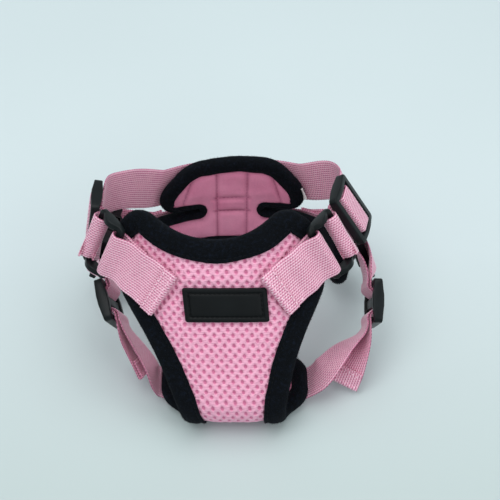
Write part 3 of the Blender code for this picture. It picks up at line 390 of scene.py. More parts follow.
def fleeceFinish():
    finish = newFinish("fleeceTape", Roughness=0.95, Sheen_Weight=0.06, Sheen_Roughness=0.5, Specular_IOR_Level=0.15,
                       Sheen_Tint=colour("5A6478"))
    nap = noiseOf(finish, 620.0, 6.0)
    under = bumpOf(finish, noiseOf(finish, 1400.0, 3.0), 0.8, 0.0004)
    dress(finish, Base_Color=rampOf(finish, nap, (0.3, "010306"), (0.55, "04080F"), (0.8, "101724")),
          Normal=bumpOf(finish, nap, 0.7, 0.0006, Normal=under))
    return finish


def grainFinish(name, dark, pale, rough, cloud, spread, grain, shine, **sockets):  # mottled, with a fine grain
    finish = newFinish(name, Roughness=rough, **sockets)
    mottle = noiseOf(finish, *cloud)
    dress(finish, Base_Color=rampOf(finish, mottle, (spread, dark), (1.0 - spread, pale)),
          Normal=bumpOf(finish, noiseOf(finish, *grain[:2]), *grain[2:]))
    if shine:
        gloss = addNode(finish, "MapRange", Value=mottle, To_Min=rough - 0.08, To_Max=rough + 0.1)
        dress(finish, Roughness=gloss.outputs["Result"])
    return finish


def plasticFinish(name, dark, pale, rough, gloss):
    return grainFinish(name, dark, pale, rough, (70.0, 4.0), 0.3, (2400.0, 2.0, 0.18, 0.0002), True,
                       Specular_IOR_Level=gloss)


def threadFinish(name, dark, pale):
    return grainFinish(name, dark, pale, 0.7, (1700.0, 2.0), 0.35, (1700.0, 2.0, 0.4, 0.0002), False,
                       Specular_IOR_Level=0.25)


pinkWeave = wovenFinish()
airMesh = knitFinish()
liningCloth = liningFinish()
fleece = fleeceFinish()
# the pile fibres get a lighter copy of the tape's fleece colour, a painted highlight on the fuzz
fleecePileHighlight = threadFinish("fleecePileHighlight", "04070E", "171E2B")
plastic = plasticFinish("mouldedPlastic", "0A0E10", "12181A", 0.32, 0.17)
rubber = plasticFinish("patchRubber", "070A0C", "0D1113", 0.5, 0.16)
steel = grainFinish("ringSteel", "B9BCC0", "D7D9DB", 0.24, (120.0, 5.0), 0.3, (1800.0, 2.0, 0.08, 0.0001), True,
                    Metallic=1.0)
pinkThread = threadFinish("pinkThread", "F3B4CE", "FFE6EF")
liningThread = threadFinish("liningThread", "9E4F73", "B9668A")
blackThread = threadFinish("blackThread", "020305", "06080C")
tagCloth = threadFinish("tagCloth", "D9D9D6", "F0F0EE")
print("finishes ready")


# pads

seams = {  # lines sewn through the pads, in mm
    "chest": (((-20.0, 24.0), (-20.0, 42.0)), ((24.0, 24.0), (24.0, 42.0)), ((-20.0, 24.0), (24.0, 24.0)),
              ((-20.0, 42.0), (24.0, 42.0))),
    "back": (((-8.6, 6.0), (-8.6, 56.0)), ((8.6, 6.0), (8.6, 56.0)), ((22.0, 57.0), (29.0, 37.0)),
             ((-22.0, 57.0), (-29.0, 37.0)), ((-10.5, 38.0), (10.5, 38.0)), ((-10.5, 28.0), (10.5, 28.0))),
    "wing": ((-50.0, -34.0), (-34.0, -18.0), (18.0, 34.0), (34.0, 50.0)),
    "wingOff": 8.6 * mm,
    "depth": 1.5 * mm,
    "width": 1.3 * mm,
}
pressed = {  # low and high corners of what is sewn on the pads, in mm
    "chest": (((-60.0, -20.0), (-22.0, 30.0)), ((22.0, -20.0), (60.0, 30.0))),
    "back": (((-8.5, 26.0), (8.5, 55.0)), ((-95.0, 0.0), (95.0, 26.0)), ((-44.0, 36.0), (-15.0, 61.0)),
             ((15.0, 36.0), (44.0, 61.0))),
}
knit = lengths(pitch=4.7, row=2.7, holeWide=0.87, holeTall=1.2, strandCrown=0.16, strandSink=0.25, holeDepth=0.82,
               puff=0.9, puffFrom=8.5, puffOver=9.0, pressOver=4.0, edge=3.6, weld=0.02)
knit["well"] = ((1.14, 0.06, 0.1), (1.0, 0.34, 0.42), (0.86, 0.78, 0.85), (0.6, 0.97, 1.0))  # size, drop, painted shade darkening the hole's wall towards its bottom
lining = lengths(step=1.5, edge=1.1, puff=0.95, puffFrom=4.5, puffOver=6.0, wave=0.5, stitch=2.2, thread=0.3,
                 sink=0.1)
lining["waveScale"] = 120.0
label = lengths(width=41.2, height=17.5, thick=1.6, corner=1.2, a=2.6, s=33.0, stitchInset=2.75, stitch=2.4,
                thread=0.5)
label.update(
    levels=((0.0, 1.6), (0.0, 0.64), (0.12, 0.224), (0.4, 0.0), (1.9, 0.0), (2.15, 0.12), (2.35, 0.5), (3.15, 0.5),
            (3.35, 0.2), (3.6, 0.1), (5.0, 0.06), (6.6, 0.02), (8.3, 0.0)),  # inset and drop in mm
    steps=(18, 44), cornerSteps=6)


def padPuff(points, outline, rects):  # the foam swells away from the tape and sinks under what is sewn on
    swell = easeAll((edgeDistance(points, outline) - knit["puffFrom"]) / knit["puffOver"])
    flat = np.array(points)
    for low, high in rects:
        outside = np.maximum(np.maximum(np.array(low) - flat, flat - np.array(high)), 0.0)
        swell *= easeAll(np.sqrt((outside ** 2).sum(1)) / knit["pressOver"])
    return swell * knit["puff"]


def airMeshPad(name, outline, surface, nodes, rects):
    pitch, row = knit["pitch"], knit["row"]
    half = pitch / 2
    short = (row * row - half * half) / (2 * row)
    tall = (half * half + row * row) / (2 * row)
    slant = (short + tall) / 2
    ring = [(half, short), (half / 2, slant), (0.0, tall), (-half / 2, slant), (-half, short)]
    ring += [(-x, -y) for x, y in ring]
    size = len(ring)
    lowX, highX, lowY, highY = extent(outline)
    cells = [(i * pitch + (half if j % 2 else 0.0), j * row)
             for j in range(math.floor(lowY / row), math.ceil(highY / row) + 1)
             for i in range(math.floor(lowX / pitch) - 1, math.ceil(highX / pitch) + 1)]
    cells = [cell for cell, depth in zip(cells, edgeDistance(cells, outline)) if depth > knit["edge"]]
    flat, lifts, paintedHoleShade, faces, tops, upper, lower = [], [], [], [], [], {}, {}

    def add(x, y, lift, shade):
        flat.append((x, y))
        lifts.append(lift)
        paintedHoleShade.append(shade)
        return len(flat) - 1

    def corner(x, y, book, lift, shade):  # neighbouring cells share their corners
        key = (round(x / knit["weld"]), round(y / knit["weld"]))
        if key not in book:
            book[key] = add(x, y, lift, shade)
        return book[key]

    rimX, rimY = knit["holeWide"], knit["holeTall"]
    angles = [math.atan2(dy / rimY, dx / rimX) for dx, dy in ring]
    for x, y in cells:
        loops = [[corner(x + dx, y + dy, upper, knit["strandCrown"], 0.0) for dx, dy in ring]]
        tops.append(loops[0])
        for scale, drop, shade in knit["well"]:
            loops.append([add(x + rimX * scale * math.cos(angle), y + rimY * scale * math.sin(angle),
                              -knit["holeDepth"] * drop, shade) for angle in angles])
        for one, two in zip(loops, loops[1:]):
            faces += [(one[k], one[(k + 1) % size], two[(k + 1) % size], two[k]) for k in range(size)]
        faces.append(tuple(loops[-1]))
        faces.append(tuple(reversed([corner(x + dx, y + dy, lower, None, 1.0) for dx, dy in ring])))
    below = {index: lower[key] for key, index in upper.items()}
    faces += [(one, two, below[two], below[one]) for one, two in openEdges(tops)]
    verts = [surface(x, y, -layers["foam"] / 2 if lift is None else faceTop - knit["strandSink"] + lift + swell)
             for (x, y), lift, swell in zip(flat, lifts, padPuff(flat, outline, rects))]
    # the depth value carries painted shade: darker down each hole, partly the darker backing seen there, partly shade
    # in the hole
    made = addPiece(name, verts, faces, airMesh, nodes, values={
        "depth": paintedHoleShade, "flatX": [x / mm for x, _ in flat], "flatY": [y / mm for _, y in flat]})


def liningPad(name, outline, surface, node, lines):
    step = lining["step"]
    lowX, highX, lowY, highY = extent(outline)
    columns = math.ceil((highX - lowX) / step) + 1
    rows = math.ceil((highY - lowY) / step) + 1
    flat = [(lowX + i * step, lowY + j * step) for j in range(rows) for i in range(columns)]
    depth = edgeDistance(flat, outline)
    groove = np.zeros(len(flat))
    for one, two in lines:
        groove = np.maximum(groove, np.exp(-(lineDistance(np.array(flat), one, two) / seams["width"]) ** 2))
    swell = easeAll((depth - lining["puffFrom"]) / lining["puffOver"])
    starts = [j * columns + i for j in range(rows - 1) for i in range(columns - 1)]
    quads = [[start, start + 1, start + columns + 1, start + columns] for start in starts]
    quads = [quad for quad in quads if all(depth[index] > lining["edge"] for index in quad)]
    number = {index: 2 * order for order, index in enumerate(sorted({index for quad in quads for index in quad}))}
    verts, faces, seam = [], [], []
    top = -layers["foam"] / 2 - gap
    for index in number:
        x, y = flat[index]
        wave = noise.noise(Vector((x * lining["waveScale"], y * lining["waveScale"], 3.0))) * lining["wave"]
        bulge = swell[index] * (lining["puff"] + wave) - groove[index] * swell[index] * seams["depth"]
        verts += [surface(x, y, top), surface(x, y, top - layers["lining"] - bulge)]
        # the seam value is painted shade, darkening the lining along the sewn grooves
        seam += [groove[index]] * 2
    for quad in quads:
        faces.append(tuple(number[index] for index in quad))
        faces.append(tuple(number[index] + 1 for index in reversed(quad)))
    faces += [(number[one], number[two], number[two] + 1, number[one] + 1) for one, two in openEdges(quads)]
    made = addPiece(name, verts, faces, liningCloth, (node,), values={"seam": seam})


def liningSeams(name, surface, lines):
    height = -layers["foam"] / 2 - gap - layers["lining"] + lining["sink"]
    rows = [surfaceRow(surface, one, two, height) for one, two in lines]
    stitches(name, rows, lining["stitch"], liningThread, thick=lining["thread"])


tape = lengths(spacing=1.3, nose=1.25, puff=0.3, seamDepth=8.4, seamSink=0.42, pucker=0.22, faceWander=0.35,
               rearWander=0.8, tightFace=3.0, tightRear=2.5, rearSeam=1.4, stitch=2.6, thread=0.34)
tape.update(faceFit=0.82, rearFit=0.7)  # shares of a tight bend that the tape can take up
tape["ripples"] = ((1.0, 0.34, 120.0, 90.0, 7.0), (0.5, 0.9, 300.0, 200.0, 0.0))  # share, pace, inward, upward, start
notch = lengths(low=27.0, high=36.0, lip=3.2, widens=39.0)  # the tape is slimmer in the notches of the back pad


def tapeProfile(face, rear):  # depth in from the pad's edge, height, how far puckers move it
    top = tapeTop + layers["tapeWall"]
    bottom = -tapeBottom - layers["tapeWall"]
    seam = face - (layers["tapeFaceDepth"] - tape["seamDepth"])
    puff = tape["puff"]
    return [
        (face, tapeTop - 0.25 * mm, 0.0),
        (face + 0.25 * mm, tapeTop + 0.35 * mm, 0.3),
        (face, top - 0.05 * mm, 0.5),
        (face - 0.6 * mm, top + 0.1 * mm, 0.6),
        (seam + 0.4 * mm, top - tape["seamSink"] * 0.6, 0.3),
        (seam, top - tape["seamSink"], 0.2),
        (seam - 0.5 * mm, top - tape["seamSink"] * 0.5, 0.5),
        (seam - 1.5 * mm, top + puff * 0.5, 1.0),
        (face * 0.5, top + puff, 1.0),
        (2.4 * mm, top + puff * 0.5, 1.0),
        (0.9 * mm, top - 0.25 * mm, 0.8),
        (-0.3 * mm, top - 0.95 * mm, 0.6),
        (-0.95 * mm, top - 1.9 * mm, 0.5),
        (-tape["nose"], 0.1 * mm, 0.4),
        (-0.95 * mm, bottom + 1.9 * mm, 0.5),
        (-0.3 * mm, bottom + 0.95 * mm, 0.6),
        (0.9 * mm, bottom + 0.25 * mm, 0.8),
        (rear * 0.5, bottom - puff * 0.6, 1.0),
        (rear - tape["rearSeam"], bottom + 0.1 * mm, 0.6),
        (rear - 0.5 * mm, bottom - 0.05 * mm, 0.5),
        (rear, bottom + 0.15 * mm, 0.4),
        (rear + 0.15 * mm, -tapeBottom - 0.4 * mm, 0.2),
        (rear, -tapeBottom + 0.2 * mm, 0.0),
        (-gap, -tapeBottom + 0.2 * mm, 0.0),
        (-gap, tapeTop - 0.25 * mm, 0.0),
    ]


def boundEdge(name, outline, surface, node):
    count = len(outline)
    area = sum(here.cross(there) for here, there in zip(outline, outline[1:] + outline[:1]))
    verts, rows = [], ([], [])

    def inward(index):
        along = (outline[(index + 2) % count] - outline[index - 2]).normalized()
        return Vector((-along.y, along.x)) * math.copysign(1.0, area)

    for index, point in enumerate(outline):
        into = inward(index)
        turn = inward(index - 3).angle_signed(inward((index + 3) % count))
        span = (outline[(index + 3) % count] - outline[index - 3]).length
        tight = span / max(1e-6, abs(turn)) if turn * area < 0.0 else 1.0
        wander = noise.noise(Vector((index * 0.11, 2.0, 5.0)))
        face = min(layers["tapeFaceDepth"] + tape["faceWander"] * wander,
                   max(tape["tightFace"], tight * tape["faceFit"]))
        wander = noise.noise(Vector((index * 0.13, 9.0, 1.0)))
        rear = min(layers["tapeLiningDepth"] + tape["rearWander"] * wander,
                   max(tape["tightRear"], tight * tape["rearFit"]))
        if surface is backPoint and notch["low"] < point.y < notch["high"]:
            rear = min(rear, notch["lip"] + max(0.0, abs(point.x) - notch["widens"]))
        profile = tapeProfile(face, rear)
        for depth, height, wrinkle in profile:
            flat = point + into * depth
            ripple = sum(share * noise.noise(Vector((index * pace, depth * inner, height * upper + start)))
                         for share, pace, inner, upper, start in tape["ripples"])
            lift = ripple * tape["pucker"] * wrinkle
            lift = math.copysign(lift, height) * (1.0 if ripple > 0 else -1.0)
            verts.append(surface(flat.x, flat.y, height + lift))
        wall = layers["tapeWall"]
        for row, depth, height, over in (
                (rows[0], face - (layers["tapeFaceDepth"] - tape["seamDepth"]),
                 tapeTop + wall - tape["seamSink"] + 0.05 * mm, tapeTop + 2.0 * mm),
                (rows[1], rear - tape["rearSeam"], -tapeBottom - wall + 0.05 * mm, -tapeBottom - 2.0 * mm)):
            flat = point + into * depth
            here = surface(flat.x, flat.y, height)
            row.append((here, (surface(flat.x, flat.y, over) - here).normalized()))
    made = addPiece(name, verts, tubeFaces(count, len(profile), True), fleece, (node,))
    tapePile(name + "Pile", made)
    stitches(name + "Stitches", [row + row[:1] for row in rows], tape["stitch"], blackThread,
             thick=tape["thread"])


pile = lengths(long=1.0, thick=0.13, sink=0.05, ground=0.3)
pile.update(perArea=1.1e6, lean=1.0)


def tapePile(name, base):  # short brushed fibres standing off the tape
    rng = np.random.default_rng(11)
    verts, faces = [], []
    for face in base.data.polygons:
        count = rng.poisson(face.area * pile["perArea"])
        corners = [base.data.vertices[index].co for index in face.vertices]
        out = face.normal
        for _ in range(count):
            u, v = rng.random(2)
            root = corners[0].lerp(corners[1], u).lerp(corners[3].lerp(corners[2], u), v)
            side = Vector(rng.normal(size=3)).cross(out).normalized()
            way = (out + side * pile["lean"] * rng.random()).normalized()
            tip = root + way * pile["long"] * (0.5 + 0.5 * rng.random())
            if tip.z < pile["ground"]:  # left out where the ground would press the fibre flat
                continue
            other = out.cross(side) * pile["thick"]
            start = len(verts)
            feet = (root - side * pile["thick"] * 0.6, root + other * 0.5, root - other * 0.5)
            verts += [foot - out * pile["sink"] for foot in feet] + [tip]
            faces += [tuple(start + k for k in three) for three in ((0, 2, 1), (0, 1, 3), (1, 2, 3), (2, 0, 3))]
    addPiece(name, verts, faces, fleecePileHighlight)


stitchShape = lengths(long=1.9, thick=0.55)
stitchShape.update(share=0.74, slim=0.45, sink=0.6, sides=6, rings=3)


def stitches(name, rows, pitch, finish=pinkThread, body="harness", thick=stitchShape["thick"]):
    thick /= 2
    long = min(stitchShape["long"], pitch * stitchShape["share"]) / 2
    n, ringCount = stitchShape["sides"], stitchShape["rings"]
    slim, sink = stitchShape["slim"], stitchShape["sink"]
    verts, faces = [], []
    for row in rows:
        walks = [0.0]
        for (one, _), (two, _) in zip(row, row[1:]):
            walks.append(walks[-1] + (two - one).length)
        count = max(1, int(walks[-1] / pitch))
        pace = walks[-1] / count
        at = 0
        for step in range(count):
            walked = (step + 0.5) * pace
            while at < len(walks) - 2 and walks[at + 1] < walked:
                at += 1
            share = (walked - walks[at]) / max(1e-9, walks[at + 1] - walks[at])
            centre = row[at][0].lerp(row[at + 1][0], share)
            up = row[at][1].lerp(row[at + 1][1], share).normalized()
            along = (row[at + 1][0] - row[at][0]).normalized()
            side = along.cross(up).normalized()
            start = len(verts)
            verts.append(centre - along * long - up * thick * 0.5)
            for ring in range(ringCount):
                angle = math.pi * (ring + 1) / (ringCount + 1)
                core = centre - along * long * math.cos(angle) + up * thick * (math.sin(angle) - sink) * 0.5
                wide = thick * (slim + (1.0 - slim) * math.sin(angle))
                for k in range(n):
                    turn = 2 * math.pi * k / n
                    verts.append(core + (side * math.cos(turn) + up * math.sin(turn)) * wide)
            verts.append(centre + along * long - up * thick * 0.5)
            last = start + 1 + n * ringCount
            for k in range(n):
                after = (k + 1) % n
                faces.append((start, start + 1 + after, start + 1 + k))
                for low in range(start + 1, last - n, n):
                    faces.append((low + k, low + after, low + n + after, low + n + k))
                faces.append((last - n + k, last - n + after, last))
    addPiece(name, verts, faces, finish, body=body)


def surfaceRow(surface, one, two, t):  # row of places straight across a pad's flat pattern
    one, two = Vector(one), Vector(two)
    count = max(2, math.ceil((two - one).length / mm))
    row = []
    for index in range(count + 1):
        flat = one.lerp(two, index / count)
        here = surface(flat.x, flat.y, t)
        row.append((here, (surface(flat.x, flat.y, t + math.copysign(mm, t)) - here).normalized()))
    return row


def inMetres(lines):
    return [tuple(tuple(value * mm for value in end) for end in line) for line in lines]


chestLine = wholeOutline(chestCorners, tape["spacing"])
backLine = wholeOutline(backCorners, tape["spacing"])
labelRect = tuple((label["a"] + sign * label["width"] / 2, label["s"] + sign * label["height"] / 2)
                  for sign in (-1, 1))
chestSeams = inMetres(seams["chest"])
backSeams = inMetres(seams["back"]) + [tuple((a * mm, wingMiddle(a * mm) + off) for a in line)
                                       for off in (-seams["wingOff"], seams["wingOff"]) for line in seams["wing"]]
airMeshPad("chestAirMesh", chestLine, chestPoint, ("chest_mesh_face", "chest_foam_core"),
           [labelRect] + inMetres(pressed["chest"]))
airMeshPad("backAirMesh", backLine, backPoint, ("back_mesh_face", "back_foam_core"), inMetres(pressed["back"]))
liningPad("chestLining", chestLine, chestPoint, "chest_lining", chestSeams)
liningPad("backLining", backLine, backPoint, "back_lining", backSeams)
liningSeams("backLiningStitches", backPoint, backSeams)
liningSeams("chestLiningStitches", chestPoint, chestSeams)
boundEdge("chestTape", chestLine, chestPoint, "chest_binding")
boundEdge("backTape", backLine, backPoint, "back_binding")
print("pads ready")


# webbing

webbing = lengths(row=0.36, yarn=1.35, crown=0.4, scallop=0.34, wobble=0.12, inset=1.6, shoulder=25.0, girth=20.0,
                  spine=15.0)
webbing["edge"] = 0.62
weave = {"rim": 10, "rib": 0.6, "beat": 0.4, "pit": 0.36, "level": 0.75, "slow": 160.0, "fine": 900.0, "mix": 0.2}
slack = lengths(reach=5.0, ramp=3.0)
slack["rounds"] = 1500
hem = lengths(lift=0.35, roll=0.45, rollOver=1.1, sink=0.3, sinkOver=0.5)
hem["sinkAt"] = 0.74


def smoothRun(stations):  # smooth curve through the stations, and where each station is on it
    points = [Vector(point) for point, _ in stations]
    widths = [Vector(width).normalized() for _, width in stations]
    run, marks = [], []
    last = len(points) - 1

    def tangent(before, here, after, span, beside):
        way = (after - before) * 0.5
        if beside > span:
            way = ((here - before).normalized() + (after - here).normalized()) * span / 2
        return way.normalized() * min(way.length, span)

    for index in range(last):
        p1, p2 = points[index], points[index + 1]
        p0 = points[index - 1] if index else p1 * 2 - p2
        p3 = points[index + 2] if index + 2 <= last else p2 * 2 - p1
        span = (p2 - p1).length
        m1 = tangent(p0, p1, p2, span, (p1 - p0).length)
        m2 = tangent(p1, p2, p3, span, (p3 - p2).length)
        marks.append(len(run))
        steps = max(1, round(span / webbing["row"]))
        for step in range(steps):
            u = step / steps
            point = (p1 * (2 * u ** 3 - 3 * u ** 2 + 1) + m1 * (u ** 3 - 2 * u ** 2 + u)
                     + p2 * (3 * u ** 2 - 2 * u ** 3) + m2 * (u ** 3 - u ** 2))
            run.append((point, widths[index].lerp(widths[index + 1], u).normalized()))
    marks.append(len(run))
    run.append((points[-1], widths[-1]))
    return run, marks


def relaxed(run, held):  # free stretches settle into soft curves, held ones stay
    points = np.array([p for p, _ in run])
    widths = np.array([w for _, w in run])
    pace = np.concatenate([[0.0], np.cumsum(np.sqrt((np.diff(points, axis=0) ** 2).sum(1)))])
    weight = np.ones(len(run))
    for first, last in held:
        far = np.maximum(np.maximum(pace[first] - pace, pace - pace[last]), 0.0)
        weight = np.minimum(weight, np.clip(far / slack["ramp"], 0.0, 1.0))
    weight[0] = weight[-1] = 0.0
    rounds = int(2.0 * (slack["reach"] / (pace[-1] / len(run))) ** 2)
    for _ in range(min(rounds, slack["rounds"])):
        for values in (points, widths):
            values[1:-1] += 0.5 * weight[1:-1, None] * ((values[:-2] + values[2:]) / 2 - values[1:-1])
    return [(Vector(p), Vector(w).normalized()) for p, w in zip(points, widths)]


def facing(run, index):  # along, across and face directions of the webbing
    along = (run[min(len(run) - 1, index + 1)][0] - run[max(0, index - 1)][0]).normalized()
    out = along.cross(run[index][1]).normalized()
    return along, out.cross(along), out


def sideTo(run, index, way):  # the face of the webbing that looks that way
    return math.copysign(1.0, facing(run, index)[2].dot(Vector(way)))


def hemmed(run, length, side):  # the end is folded back on itself
    along, across, out = facing(run, len(run) - 1)
    lift = layers["webThick"] + hem["lift"]
    extra = []
    for step in range(1, 6):
        angle = math.pi * step / 6
        extra.append((run[-1][0] + along * math.sin(angle) * lift / 2
                      + out * side * (1.0 - math.cos(angle)) * lift / 2, across))
    walked = 0.0
    for index in range(len(run) - 1, 1, -1):
        _, across, out = facing(run, index)
        roll = hem["roll"] * math.exp(-(walked / hem["rollOver"]) ** 2)  # the fold stands up, the seam pulls it down
        sink = hem["sink"] * math.exp(-((walked - length * hem["sinkAt"]) / hem["sinkOver"]) ** 2)
        extra.append((run[index][0] + out * side * (lift + roll - sink), across))
        walked += (run[index][0] - run[index - 1][0]).length
        if walked > length:
            break
    return run + extra


def webbingBand(name, run, width, nodes=(), body="harness", first=0, last=None, finish=pinkWeave,
                thick=layers["webThick"]):
    last = len(run) - 1 if last is None else last
    count = 2 * max(4, round(width / webbing["yarn"]))
    verts, yarn = [], []
    size, rows = 2 * (count + 1), last - first + 1
    for index in range(first, last + 1):
        _, across, out = facing(run, index)
        here = run[index][0]
        wobble = webbing["wobble"] * noise.noise(here * weave["slow"])
        columns = list(range(count + 1))
        for sign, column in [(1.0, k) for k in columns] + [(-1.0, k) for k in reversed(columns)]:
            u = column / count * 2.0 - 1.0
            rim = abs(u) ** weave["rim"]
            beat = 0.5 + 0.5 * math.cos(math.pi * index / 2 + math.pi * (column // 2))
            over = weave["rib"] + weave["beat"] * beat if column % 2 else weave["pit"] * (1.0 - beat)
            crown = (over - weave["level"]) * webbing["crown"]
            half = thick / 2 * (1.0 - rim * webbing["edge"]) + crown * (1.0 - rim)
            x = u * (width / 2 + webbing["scallop"] * (beat - 0.5) * rim)
            verts.append(here + across * x + out * (sign * half + wobble * (1.0 - rim)))
            # the yarn value follows each yarn's crown: woven pattern plus painted highlight on the crowns and painted
            # shade in the pits
            fuzz = 0.5 + 0.5 * noise.noise(here * weave["fine"] + across * column)
            yarn.append(over * (1.0 - weave["mix"]) + weave["mix"] * fuzz)
    faces = tubeFaces(rows, size, False)
    for cap in (0, (rows - 1) * size):
        faces += [(cap + k, cap + k + 1, cap + size - 2 - k, cap + size - 1 - k) for k in range(count)]
    return addPiece(name, verts, faces, finish, nodes, body, {"yarn": yarn})


def blendedBands(names, run, marks, width, node, cuts):  # one strap, cut into pieces at the given stations
    stops = [0] + [marks[cut - 1] for cut in cuts] + [None]
    for index, name in enumerate(names):
        made = webbingBand(name, run, width, () if index else (node,), None, stops[index], stops[index + 1])
        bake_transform(made)


def onPlace(placed, points):  # stations at (y, z) in a hardware frame
    return [(placed @ Vector((0.0, y, z)), acrossOf(placed)) for y, z in points]


def barTurn(bar, reach, start, stop):
    angles = [math.radians(start + (stop - start) * step / 6) for step in range(7)]
    return [(bar + reach * math.cos(angle), reach * math.sin(angle)) for angle in angles]


def barReach(depth, thick):
    return math.hypot(depth, thick) / 2 + layers["loopSlack"] + layers["webThick"] / 2


def barLoop(placed, bar, reach, target):  # half round a bar, both strands leading to the target
    way = placed.inverted() @ target - Vector((0.0, bar, 0.0))
    first = math.degrees(math.atan2(way.y, -way.z))
    return onPlace(placed, barTurn(bar, reach, first, first + 180.0))


def straight(stations, towards):  # the same edge of the webbing leads all the way
    aligned = []
    for point, width in reversed(stations):
        towards = -width if width.dot(towards) < 0.0 else width
        aligned.append((point, towards))
    return list(reversed(aligned))


def edgeRows(run, first, last, width, side, inset=webbing["inset"]):  # places along both edges of the webbing
    rows = ([], [])
    for hand, row in zip((-1.0, 1.0), rows):
        for index in range(first, last, 2):
            _, across, out = facing(run, index)
            row.append((run[index][0] + across * hand * (width / 2 - inset) + out * side * layers["webThick"] / 2,
                        out * side))
    return list(rows)


def crossRow(run, index, width, side, lift=0.0):
    _, across, out = facing(run, index)
    start = run[index][0] + out * side * (layers["webThick"] / 2 + lift)
    return [(start + across * (width / 2 - webbing["inset"]) * step / 10, out * side) for step in range(-10, 11)]


glides = lengths(rail=3.2, endBar=3.6, slot=5.6, centreBar=5.4, endThick=2.6, slotThick=3.1, midThick=4.4,
                 barThick=2.8, frameRise=1.7)
glides["shoulder"] = {  # centre in mm, along, out
    "right": ((63.0, 25.0, 69.5), (0.24, 0.97, -0.03), (0.81, -0.18, 0.56)),
    "left": ((-73.0, 23.0, 67.0), (0.0, 1.0, -0.05), (-0.98, 0.0, 0.17)),
}
glides["girth"] = {
    "right": ((75.5, -11.0, 34.5), (0.02, 0.84, 0.54), (0.93, 0.18, 0.05)),
    "left": ((-65.0, -10.0, 33.0), (-0.28, 0.87, 0.40), (-0.92, 0.20, -0.10)),
}
glides["slotEnd"] = glides["centreBar"] / 2 + glides["slot"]
glides["end"] = glides["slotEnd"] + glides["endBar"]
rings = lengths(bar=3.6, eye=12.0, fromSeam=31.0, railRise=2.2)
rings["thick"] = glides["endThick"] + 0.4 * mm
rings["barAt"] = (rings["eye"] + rings["bar"]) / 2
rings["reach"] = barReach(rings["bar"], rings["thick"])
tabs = lengths(a=27.0, s=28.0, lap=14.0, hem=6.5, hemLift=0.45, stitch=2.1, thread=0.62)
tabs.update(angle=math.radians(38.0), crossRows=(1.2, 5.2), sideRows=(7.5, 12.0))  # rows in mm from the tab's end
buckles = lengths(deep=9.0, tailBar=2.4, tailThick=4.6, plugBar=3.4, plugThick=5.0, plugReach=32.6)
buckles["right"] = ((68.0, 49.0, 34.0), (0.17, -0.97, 0.17), (0.93, 0.20, 0.30))
buckles["left"] = ((-68.0, 49.0, 34.0), (-0.17, -0.97, 0.17), (-0.93, 0.20, 0.30))
routes = {  # free points of the straps in mm, each with the webbing's width there
    "shoulder": {
        "right": (((57.0, 58.0, 61.0), (0.2, -0.2, -0.95)), ((64.0, 46.0, 66.5), (0.35, -0.2, -0.9))),
        "left": (((-56.0, 56.5, 55.5), (0.1, 0.2, 0.97)), ((-68.5, 45.0, 62.5), (0.05, 0.1, 0.98))),
    },
    "belly": {
        "right": (((48.0, -43.0, 15.5), (-0.55, 0.75, -0.35)), ((60.0, -31.0, 23.0), (-0.45, 0.6, -0.65))),
        "left": (((-40.5, -42.0, 14.0), (0.25, 0.75, -0.6)), ((-49.5, -30.0, 21.0), (0.25, 0.68, -0.68))),
    },
    "tail": {
        "right": (((70.5, -28.5, 21.5), (-0.45, 0.3, -0.8)), ((62.5, -36.0, 12.0), (-0.8, 0.35, -0.35)),
                  ((58.5, -40.8, 5.0), (-0.93, 0.3, 0.15))),
        "left": (((-57.5, -25.5, 21.5), (0.2, 0.6, -0.77)), ((-52.0, -32.5, 14.5), (0.2, 0.68, -0.68)),
                 ((-47.5, -37.5, 8.5), (0.25, 0.75, -0.58))),
    },
    "tailHem": 9.0 * mm,
}
shoulderSeam = lengths(start=17.0, long=23.0, h=48.0)
pitches = lengths(shoulder=2.4, tail=2.3, belly=2.5, girth=2.5, spine=2.3, keeper=2.1)  # of the stitches
bellyThread, spineInset = 0.4 * mm, 1.3 * mm


def routed(kind, side):
    return [(place(point), Vector(width)) for point, width in routes[kind][side]]


def hardwareFrame(spot):
    centre, run, out = spot
    return frameFrom(place(centre), run, out)


def tabHeading(side):
    return sides[side] * math.cos(tabs["angle"]), -math.sin(tabs["angle"])


def ringFrame(side):
    x, y = heading = tabHeading(side)
    reach = rings["fromSeam"]
    placed = surfaceFrame(chestPoint, sides[side] * tabs["a"] + x * reach, tabs["s"] + y * reach,
                          sewnOn + gap + rings["reach"], heading)
    placed.translation += placed.to_3x3() @ Vector((0.0, rings["barAt"], 0.0))
    return placed


def glideWay(level):  # one of two webbing layers through a glide, level 0 nearest the centre bar
    half = layers["webThick"] / 2
    below = -glides["slotThick"] / 2 - gap - half - (1 - level) * layerStep
    above = glides["barThick"] / 2 + gap + half + level * layerStep
    edge = glides["centreBar"] / 2 + gap + half + level * layerStep * 1.15
    end = glides["end"]
    rise = [(-end - 4.0 * mm, below), (-end, below), (-glides["slotEnd"] + 0.9 * mm, below), (-edge - 0.3 * mm, 0.0),
            (-edge - 0.1 * mm, above - 1.8 * mm), (-edge + 0.3 * mm, above - 0.25 * mm), (-edge + 1.7 * mm, above)]
    return rise + [(-y, z) for y, z in reversed(rise)]


